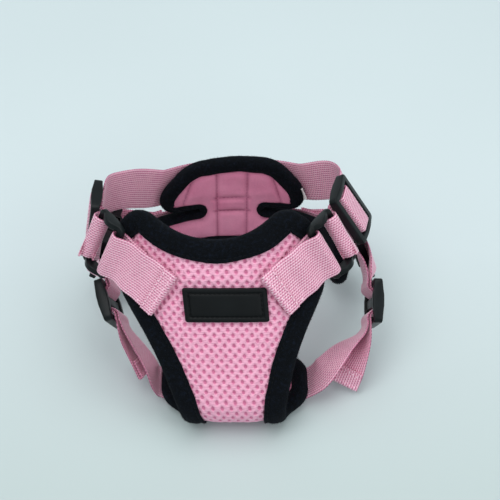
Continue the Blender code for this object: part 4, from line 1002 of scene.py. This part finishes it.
def chestTab(side):
    heading = Vector(tabHeading(side))
    start = Vector((sides[side] * tabs["a"], tabs["s"]))
    placed = ringFrame(side)
    width, far = webbing["shoulder"], rings["fromSeam"]

    def onPad(reach, height):
        flat = start + heading * reach
        return surfaceStation(chestPoint, flat.x, flat.y, height + gap, heading)

    lap = far - tabs["lap"]
    upper = sewnOn + layerStep + gap
    stations = [onPad(0.0, sewnOn), onPad(lap / 2, sewnOn), onPad(lap - 5.0 * mm, sewnOn),
                onPad(lap + 1.0 * mm, upper), onPad(far - 6.0 * mm, upper + gap)]
    stations += onPlace(placed, barTurn(-rings["barAt"], rings["reach"], 110.0, -80.0))
    stations += [onPad(far - 7.0 * mm, sewnOn), onPad(lap, sewnOn)]
    run, _ = smoothRun(stations)
    up = sideTo(run, 4, placed.to_3x3() @ Vector((0.0, 0.0, 1.0)))
    folded = hemmed(run[::-1], tabs["hem"], -up)[::-1]
    name = side.capitalize()
    webbingBand("chestTab" + name, folded, width, ("chest_webbing_" + side,))
    lift = layers["webThick"] + tabs["hemLift"]
    rows = [crossRow(run, round(reach * mm / webbing["row"]), width, up, lift) for reach in tabs["crossRows"]]
    first, last = (len(folded) - len(run) + round(reach * mm / webbing["row"]) for reach in tabs["sideRows"])
    rows += edgeRows(folded, first, last, width, up)
    stitches("chestTabStitches" + name, rows, tabs["stitch"], thick=tabs["thread"])


def shoulderStrap(side):
    sign, width = sides[side], webbing["shoulder"]
    placed = hardwareFrame(glides["shoulder"][side])
    across = acrossOf(placed)
    seam = [sign * (shoulderSeam["start"] + shoulderSeam["long"] * step / 4) for step in range(5)]
    sewn = [surfaceStation(backPoint, a, shoulderSeam["h"], sewnOn + gap, (sign, 0.0)) for a in seam]
    free = routed("shoulder", side)
    sewn, free = ([(point, -wide) for point, wide in part] if part[0][1].dot(across) < 0.0 else part
                  for part in (sewn, free))
    outer, inner = glideWay(1)[::-1], glideWay(0)
    turn = barLoop(ringFrame(side), rings["barAt"], rings["reach"] + 2.0 * gap, placed.translation)
    wrap = inner[:10] + [(y, -z) for y, z in inner[9:6:-1]]  # once round the centre bar
    wrap.append((-0.5 * mm, wrap[-1][1] - 0.1 * mm))
    run, marks = smoothRun(sewn + free + onPlace(placed, outer) + turn + onPlace(placed, wrap))
    glideIn = len(sewn) + len(free)
    turnIn = glideIn + len(outer)
    wrapIn = turnIn + len(turn)
    run = relaxed(run, [(0, marks[3]), (marks[glideIn + 1], marks[turnIn - 2]),
                        (marks[turnIn + 1], marks[wrapIn - 2]), (marks[wrapIn + 1], len(run) - 1)])
    name, holder = side.capitalize(), "shoulder_glide_" + side
    blendedBands(["shoulder" + part + name for part in ("Strap", "Loop", "Return")], run, marks, width,
                 "shoulder_strap_" + side, (turnIn, wrapIn))
    out = sideTo(run, 10, (0.0, 1.0, 0.0))
    rows = edgeRows(run, 2, marks[4], width, out) + [crossRow(run, at, width, out) for at in (4, marks[4] - 6)]
    stitches("shoulderStrapStitches" + name, rows, pitches["shoulder"])


def bellyStation(a, sign):
    return surfaceStation(chestPoint, a, chest["foldEnd"] + chest["bellyLength"] / 2, sewnOn, (sign, 0.0))


def girthStrap(side):
    sign, width = sides[side], webbing["girth"]
    placed = hardwareFrame(glides["girth"][side])
    sewn = [bellyStation(sign * (chest["bellyHalf"] + off), sign) for off in (gap, 5.0 * mm)]
    bar = hardwareFrame(buckles[side]) @ Matrix.Translation((0.0, buckles["plugReach"], 0.0))
    reach = barReach(buckles["plugBar"], buckles["plugThick"] * 0.8)
    stretches = [sewn + routed("belly", side), onPlace(placed, glideWay(0)),
                 barLoop(bar, 0.0, reach, placed.translation)[::-1], onPlace(placed, glideWay(1)[::-1]),
                 routed("tail", side)]
    run, marks = smoothRun(straight(sum(stretches, []), acrossOf(placed)))
    cuts = [sum(len(part) for part in stretches[:count]) for count in range(1, 5)]  # up, turn, down and tail begin
    run = relaxed(run, [(0, 3)] + [(marks[one + 1], marks[two - 2]) for one, two in zip(cuts, cuts[1:])])
    hemSide = sideTo(run, len(run) - 2, (0.0, 0.0, 1.0))
    name, plug, slider = side.capitalize(), "buckle_plug_" + side, "girth_glide_" + side
    blendedBands(["girth" + part + name for part in ("Belly", "Rise", "Loop", "Drop", "Tail")],
                 hemmed(run, routes["tailHem"], hemSide), marks, width, "girth_strap_" + side, cuts)
    hemAt = len(run) - round(routes["tailHem"] / webbing["row"])
    rows = [crossRow(run, hemAt + 4, width, hemSide, layers["webThick"] + 0.25 * mm)]
    stitches("tailStitches" + name, rows, pitches["tail"], body=plug)


def bellyWebbing():
    half, width = chest["bellyHalf"], webbing["girth"]
    run, _ = smoothRun([bellyStation(-half + half * 2 * step / 15, 1.0) for step in range(16)])
    webbingBand("bellyWebbing", run, width, ("belly_webbing",))
    rows = edgeRows(run, 3, len(run) - 3, width, sideTo(run, 90, (0.0, 0.0, -1.0)))
    stitches("bellyStitches", rows, pitches["belly"], thick=bellyThread)


def wingStation(a, t):
    half = webbing["girth"] / 2
    high, low = (backPoint(a, wingMiddle(a) + off, t) for off in (half, -half))
    return (high + low) / 2, high - low


def backGirth():
    width = webbing["girth"]
    halves = {}
    for side, sign in sides.items():
        reach = barReach(buckles["tailBar"], buckles["tailThick"])
        fold = barLoop(hardwareFrame(buckles[side]), buckles["tailBar"] / 2, reach,
                       wingStation(sign * 50.0 * mm, sewnOn)[0])
        fold = [(point, wide if wide.z > 0 else -wide) for point, wide in fold]
        pad = [wingStation(sign * a * mm, sewnOn + gap) for a in (10.0, 20.0, 30.0, 40.0, 45.0, 50.0)]
        lap = [wingStation(sign * a * mm, sewnOn + layerStep + 2.0 * gap) for a in (46.0, 40.0)]
        halves[side] = pad + fold + lap
    run, marks = smoothRun(halves["left"][::-1] + halves["right"])
    webbingBand("backGirth", run, width, ("back_girth_webbing",))
    out = sideTo(run, len(run) // 2, (0.0, 1.0, 0.0))
    rows = edgeRows(run, marks[9], marks[-10], width, out)
    rows += [crossRow(run, at, width, out, layers["webThick"] + gap) for at in (marks[10] + 4, marks[-11] - 4)]
    stitches("backGirthStitches", rows, pitches["girth"])


leash = lengths(h=42.0, wire=3.0, eyeWide=18.0, eyeTall=15.0, corner=2.0, spineLow=27.0, spineHigh=52.0)
leash["sides"] = 20


def spineAndKeeper():
    across, width = Vector((1.0, 0.0, 0.0)), webbing["spine"]
    heights = (leash["spineLow"], leash["h"], leash["spineHigh"])
    run, _ = smoothRun([(backPoint(0.0, h, onMesh), across) for h in heights])
    webbingBand("spineWebbing", run, width, ("spine_webbing",))
    out = sideTo(run, 20, (0.0, 1.0, 0.0))
    rows = edgeRows(run, 2, len(run) - 2, width, out, spineInset)
    stitches("spineStitches", rows + [crossRow(run, at, width, out) for at in (3, len(run) - 4)], pitches["spine"])
    flat = onMesh + layerStep
    over = onMesh + layers["webThick"] + 2.0 * gap + leash["wire"]
    points = [(-8.0, flat), (-5.5, flat), (-2.6, over - mm), (0.0, over), (2.6, over - mm), (5.5, flat), (10.5, flat)]
    run, _ = smoothRun([(backPoint(0.0, leash["h"] + h * mm, t), across) for h, t in points])
    webbingBand("leashKeeper", run, width, ("leash_ring_keeper",))
    rows = [crossRow(run, at, width, out) for at in (3, len(run) - 4, len(run) - 9)]
    stitches("keeperStitches", rows, pitches["keeper"])


def leashRing():
    wire = leash["wire"] / 2
    axis = backPoint(0.0, leash["h"], onMesh + layers["webThick"] / 2 + gap + wire)
    half = leash["eyeWide"] / 2 + wire
    drop = leash["eyeTall"] + wire - half
    corner, ringSides = leash["corner"], leash["sides"]
    upright = Vector((0.0, 1.0, 0.0))

    def arc(x, z, radius, start, step, count):
        angles = [math.radians(start - step * k) for k in range(count)]
        return [(x + radius * math.cos(angle), z + radius * math.sin(angle)) for angle in angles]

    bend = arc(half - corner, -corner, corner, 90.0, 15.0, 7)
    path = bend + arc(0.0, -drop, half, 0.0, 6.0, 31) + [(-x, z) for x, z in reversed(bend)]
    path = [p for index, p in enumerate(path) if math.dist(p, path[index - 1]) > 0.1 * mm]
    verts = []
    for index, (x, z) in enumerate(path):
        ahead, behind = path[(index + 1) % len(path)], path[index - 1]
        out = Vector((ahead[0] - behind[0], 0.0, ahead[1] - behind[1])).normalized().cross(upright)
        for k in range(ringSides):
            turn = 2 * math.pi * k / ringSides
            verts.append(axis + Vector((x, 0.0, z)) + (out * math.cos(turn) + upright * math.sin(turn)) * wire)
    faces = tubeFaces(len(path), ringSides, True)
    addPiece("leashDee", verts, faces, steel, ("leash_ring",), "leash_ring")


bellyWebbing()
backGirth()
spineAndKeeper()
leashRing()
for side in sides:
    chestTab(side)
    shoulderStrap(side)
    girthStrap(side)
print("webbing ready")


# label and tag

def labelPatch():
    halfWide, halfTall = label["width"] / 2, label["height"] / 2
    low = faceTop + gap - 0.2 * mm
    signs = ((1, -1), (1, 1), (-1, 1), (-1, -1))
    verts = []
    for inset, drop in label["levels"]:
        radius = max(0.05 * mm, label["corner"] - inset * mm)
        wide, tall = halfWide - inset * mm - radius, halfTall - inset * mm - radius
        ring = []
        for turn, (sx, sy) in enumerate(signs):
            for k in range(label["cornerSteps"] + 1):
                angle = math.radians(turn * 90.0 - 90.0 + 90.0 * k / label["cornerSteps"])
                ring.append((sx * wide + radius * math.cos(angle), sy * tall + radius * math.sin(angle)))
            (x, y), (nextX, nextY), steps = ring[-1], signs[(turn + 1) % 4], label["steps"][turn % 2]
            goalX, goalY = nextX * wide + radius * math.cos(angle), nextY * tall + radius * math.sin(angle)
            ring += [(x + (goalX - x) * k / steps, y + (goalY - y) * k / steps) for k in range(1, steps)]
        verts += [chestPoint(label["a"] + x, label["s"] + y, low + label["thick"] - drop * mm) for x, y in ring]
    size, count = len(ring), len(label["levels"])
    faces = tubeFaces(count, size, False) + [tuple(range(size)), tuple(range((count - 1) * size, count * size))]
    addPiece("labelPatch", verts, faces, rubber, ("label_patch",))
    x, y = halfWide - label["stitchInset"], halfTall - label["stitchInset"]
    corners = [(label["a"] + sx * x, label["s"] + sy * y) for sx, sy in ((-1, -1), (1, -1), (1, 1), (-1, 1))]
    rows = [surfaceRow(chestPoint, one, two, low + label["thick"] - 0.38 * mm)
            for one, two in zip(corners, corners[1:] + corners[:1])]
    stitches("labelStitches", rows, label["stitch"], blackThread, thick=label["thread"])


tag = lengths(width=7.5, thick=0.3, tuck=1.0)
tag.update(edge=(Vector((38.0, 49.0)) * mm, Vector((44.0, 35.0)) * mm), place=0.35,  # on the back pad's edge
           fold=((0.0, 0.45), (0.9, 0.6), (1.6, 0.5), (1.95, 0.1), (1.6, -0.3), (0.9, -0.4), (0.0, -0.4)))


def sizeTag():
    top, bottom = tag["edge"]
    along = (bottom - top).normalized()
    edge = top.lerp(bottom, tag["place"])
    here = surfaceFrame(backPoint, edge.x, edge.y, 0.0, (-along.y, along.x))
    run, _ = smoothRun(onPlace(here, [(edgeOut - tag["tuck"] + y * mm, z * mm) for y, z in tag["fold"]]))
    webbingBand("sizeTag", run, tag["width"], ("size_tag",), finish=tagCloth, thick=tag["thick"])


labelPatch()
sizeTag()
print("label and tag ready")


# hardware

mould = lengths(corner=2.2, edge=0.55, copyEdge=0.2, barEdge=0.8, ribEdge=0.35, rib=1.0)
mould.update(segments=3, sharp=math.radians(28.0), copySharp=math.radians(25.0), smooth=math.radians(40.0),
             flat=math.radians(2.0), weld=1e-5, near=1e-6,
             grip=((12.6, 7.0), (15.2, 6.0), (17.8, 5.0)))  # each rib's reach and half length in mm


def only(piece, *others):  # just these are selected, and the piece is active
    bpy.ops.object.select_all(action="DESELECT")
    for each in (piece, *others):
        each.select_set(True)
    bpy.context.view_layer.objects.active = piece


def joined(piece, others):
    only(piece, *others)
    bpy.ops.object.join()


def roundOff(piece, width, angle):
    only(piece)
    bevel = piece.modifiers.new("rounded", "BEVEL")
    bevel.width = width
    bevel.segments = mould["segments"]
    bevel.limit_method = "ANGLE"
    bevel.angle_limit = angle
    bpy.ops.object.modifier_apply(modifier=bevel.name)
    bpy.ops.object.shade_smooth_by_angle(angle=mould["smooth"])


def settle(piece, placed, edge):  # rounded, put in its place and given its plastic
    roundOff(piece, edge, mould["sharp"])
    piece.matrix_world = placed
    bpy.ops.object.transform_apply(location=True, rotation=True, scale=True)
    piece.data.materials.append(plastic)
    return piece


def startPiece(name, primitive, size=1.0, **options):
    bpy.ops.object.select_all(action="DESELECT")
    primitive(size=size, **options)
    bpy.context.object.name = name
    return bpy.context.object


def modeOf(mode):
    bpy.ops.object.mode_set(mode=mode)


def mouldedPlate(name, placed, half, ys, thickness, rise):  # a frame of rails and end bars round one opening
    xs = (-half - glides["rail"], -half, half, half + glides["rail"])
    plate = startPiece(name, bpy.ops.mesh.primitive_grid_add, x_subdivisions=len(xs) - 1, y_subdivisions=len(ys) - 1)
    order = sorted(plate.data.vertices, key=lambda v: (round(v.co.y, 4), round(v.co.x, 4)))
    for index, vert in enumerate(order):
        vert.co = (xs[index % len(xs)], ys[index // len(xs)], 0.0)
    modeOf("EDIT")
    bpy.ops.mesh.select_mode(type="FACE")
    bpy.ops.mesh.select_all(action="DESELECT")
    modeOf("OBJECT")
    for face in plate.data.polygons:
        face.select = abs(face.center.x) < half and ys[1] < face.center.y < ys[-2]
    modeOf("EDIT")
    bpy.ops.mesh.delete(type="FACE")
    bpy.ops.mesh.select_all(action="SELECT")
    bpy.ops.mesh.extrude_region_move(TRANSFORM_OT_translate={"value": (0.0, 0.0, mm)})
    bpy.ops.mesh.select_all(action="SELECT")
    bpy.ops.mesh.normals_make_consistent(inside=False)
    bpy.ops.mesh.select_mode(type="EDGE")
    bpy.ops.mesh.select_all(action="DESELECT")
    modeOf("OBJECT")
    for vert in plate.data.vertices:
        row = min(range(len(ys)), key=lambda k: abs(ys[k] - vert.co.y))
        vert.co.z = thickness[row] / 2 + rise[row] if vert.co.z > mm / 2 else -thickness[row] / 2
    for edge in plate.data.edges:
        one, two = (plate.data.vertices[index].co for index in edge.vertices)
        upright = max(abs(one.x - two.x), abs(one.y - two.y)) < mould["near"]
        outer = max(abs(abs(one.x) - xs[-1]), min(abs(one.y - ys[0]), abs(one.y - ys[-1]))) < mould["near"]
        edge.select = upright and outer
    modeOf("EDIT")
    bpy.ops.mesh.bevel(offset=mould["corner"], segments=mould["segments"], affect="EDGES")
    modeOf("OBJECT")
    return settle(plate, placed, mould["edge"])


def mouldedBar(name, placed, size, edge):
    bar = startPiece(name, bpy.ops.mesh.primitive_cube_add)
    for vert in bar.data.vertices:
        vert.co = [share * whole for share, whole in zip(vert.co, size)]
    return settle(bar, placed, edge)


def gripRibs(name, placed):  # three raised lines where the fingers hold the buckle
    return [mouldedBar(name + str(index), placed @ Matrix.Translation((0.0, reach * mm, buckles["deep"] / 2)),
                       (2 * half * mm, mould["rib"], mould["rib"]), mould["ribEdge"])
            for index, (reach, half) in enumerate(mould["grip"])]


def mouldedCopy(name, node, body, ribs=()):
    piece = bpy.data.objects.new(name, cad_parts[node].data.copy())
    bpy.context.scene.collection.objects.link(piece)
    only(piece)
    modeOf("EDIT")
    bpy.ops.mesh.select_all(action="SELECT")
    bpy.ops.mesh.remove_doubles(threshold=mould["weld"])
    bpy.ops.mesh.dissolve_limited(angle_limit=mould["flat"])
    modeOf("OBJECT")
    roundOff(piece, mould["copyEdge"], mould["copySharp"])
    if ribs:
        joined(piece, ribs)
    piece.data.materials.clear()
    piece.data.materials.append(plastic)
    seat(piece, (node,), body)


def glidePlate(name, placed, web, node):
    half, bar = web / 2 + layers["webPlay"], glides["centreBar"] / 2
    slotEnd, end = glides["slotEnd"], glides["end"]
    thin, near, thick = glides["endThick"], glides["slotThick"], glides["midThick"]
    plate = mouldedPlate(name, placed, half, (-end, -slotEnd, -bar, bar, slotEnd, end),
                         (thin, near, thick, thick, near, thin), [glides["frameRise"]] * 6)
    rung = mouldedBar(name + "Bar", placed, (2 * (half + glides["rail"] * 0.4), 2 * bar, glides["barThick"]),
                      mould["barEdge"])
    joined(plate, [rung])
    seat(plate, (node,), node)


def shoulderRing(side):
    eye, bar = rings["eye"] / 2, rings["bar"]
    thin, near, thick = glides["endThick"], rings["thick"], glides["midThick"]
    shares = [step / 4 for step in range(-4, 5)]  # the rails swell smoothly between the bars
    swell = [1.0 - share * share for share in shares]
    half = webbing["shoulder"] / 2 + layers["webPlay"]
    plate = mouldedPlate("shoulderRing" + side.capitalize(), ringFrame(side), half,
                         [-eye - bar] + [eye * share for share in shares] + [eye + bar],
                         [thin] + [near + (thick - near) * part for part in swell] + [thin],
                         [0.0] + [rings["railRise"] * part for part in swell] + [0.0])
    seat(plate, ("shoulder_ring_" + side,), "harness")


for side in sides:
    name = side.capitalize()
    shoulderRing(side)
    for kind in ("shoulder", "girth"):
        glidePlate(kind + "Glide" + name, hardwareFrame(glides[kind][side]), webbing[kind], kind + "_glide_" + side)
    mouldedCopy("buckleSocket" + name, "buckle_socket_" + side, "harness",
                gripRibs("grip" + name, hardwareFrame(buckles[side])))
    mouldedCopy("bucklePlug" + name, "buckle_plug_" + side, "buckle_plug_" + side)
    for end in ("upper", "lower"):
        node = "buckle_prong_" + end + "_" + side
        mouldedCopy("buckleProng" + end.capitalize() + name, node, node)
print("hardware ready")


# studio

studio = {
    "world": ("E4ECEF", 0.76),
    "lights": {  # place, height of the target, size, power
        "keyLight": ((-0.35, -0.3, 1.05), 0.04, 0.7, 3.7),
        "fillLight": ((0.7, -0.5, 0.6), 0.04, 0.8, 2.0),
        "topLight": ((0.05, 0.25, 1.1), 0.03, 0.9, 3.7),
    },
    "floorSize": 6.0,
    "floorZ": -0.0004,
    "floorPaintedFalloff": (-0.17, 0.06),
}


def areaLight(name, spot, height, size, power):
    lamp = bpy.data.lights.new(name, "AREA")
    lamp.shape = "DISK"
    lamp.size = size
    lamp.energy = power
    made = bpy.data.objects.new(name, lamp)
    made.location = spot
    made.rotation_euler = (Vector((0.0, 0.0, height)) - Vector(spot)).to_track_quat("-Z", "Y").to_euler()
    bpy.context.scene.collection.objects.link(made)


def floorSheet():
    floor = startPiece("studioFloor", bpy.ops.mesh.primitive_plane_add, studio["floorSize"],
                       location=(0.0, 0.0, studio["floorZ"]))
    bpy.ops.object.transform_apply(location=True, rotation=True, scale=True)
    finish = newFinish("studioFloor", Roughness=0.85, Specular_IOR_Level=0.2)
    cloud = rampOf(finish, noiseOf(finish, 3.0, 2.0), (0.35, (0.96, 0.96, 0.96)), (0.65, white))
    axes = addNode(finish, "SeparateXYZ", Vector=addNode(finish, "TexCoord").outputs["Object"])
    # painted light falloff: the floor is darker towards the front and lighter towards the back
    near, far = studio["floorPaintedFalloff"]
    depth = addNode(finish, "MapRange", Value=axes.outputs["Y"], From_Min=near, From_Max=far)
    fade = rampOf(finish, depth.outputs["Result"], (0.0, "B7C4C2"), (1.0, "CFDBDD"))
    dress(finish, Base_Color=multiplied(finish, fade, cloud))
    floor.data.materials.append(finish)


floorSheet()
for name, values in studio["lights"].items():
    areaLight(name, *values)
world = bpy.data.worlds.new("studioWorld")
world.use_nodes = True
sky = world.node_tree.nodes["Background"]
sky.inputs["Color"].default_value = colour(studio["world"][0])
sky.inputs["Strength"].default_value = studio["world"][1]
bpy.context.scene.world = world

shot = {
    "target": Vector((0.0, -2.8, 40.0)) * mm,
    "elevation": math.radians(48.0),
    "distance": 0.62,
    "lens": 82.58,
    "shift": (0.036, 0.063),
}
lens = bpy.data.cameras.new("photoCamera")
lens.sensor_width = 36.0
lens.lens = shot["lens"]
lens.shift_x, lens.shift_y = shot["shift"]
lens.clip_start = 0.01
camera = bpy.data.objects.new("photoCamera", lens)
toCamera = Vector((0.0, -math.cos(shot["elevation"]), math.sin(shot["elevation"])))
camera.location = shot["target"] + toCamera * shot["distance"]
camera.rotation_euler = (-toCamera).to_track_quat("-Z", "Y").to_euler()
bpy.context.scene.collection.objects.link(camera)
bpy.context.scene.camera = camera
bpy.context.scene.view_settings.view_transform = "Standard"
print("studio ready")
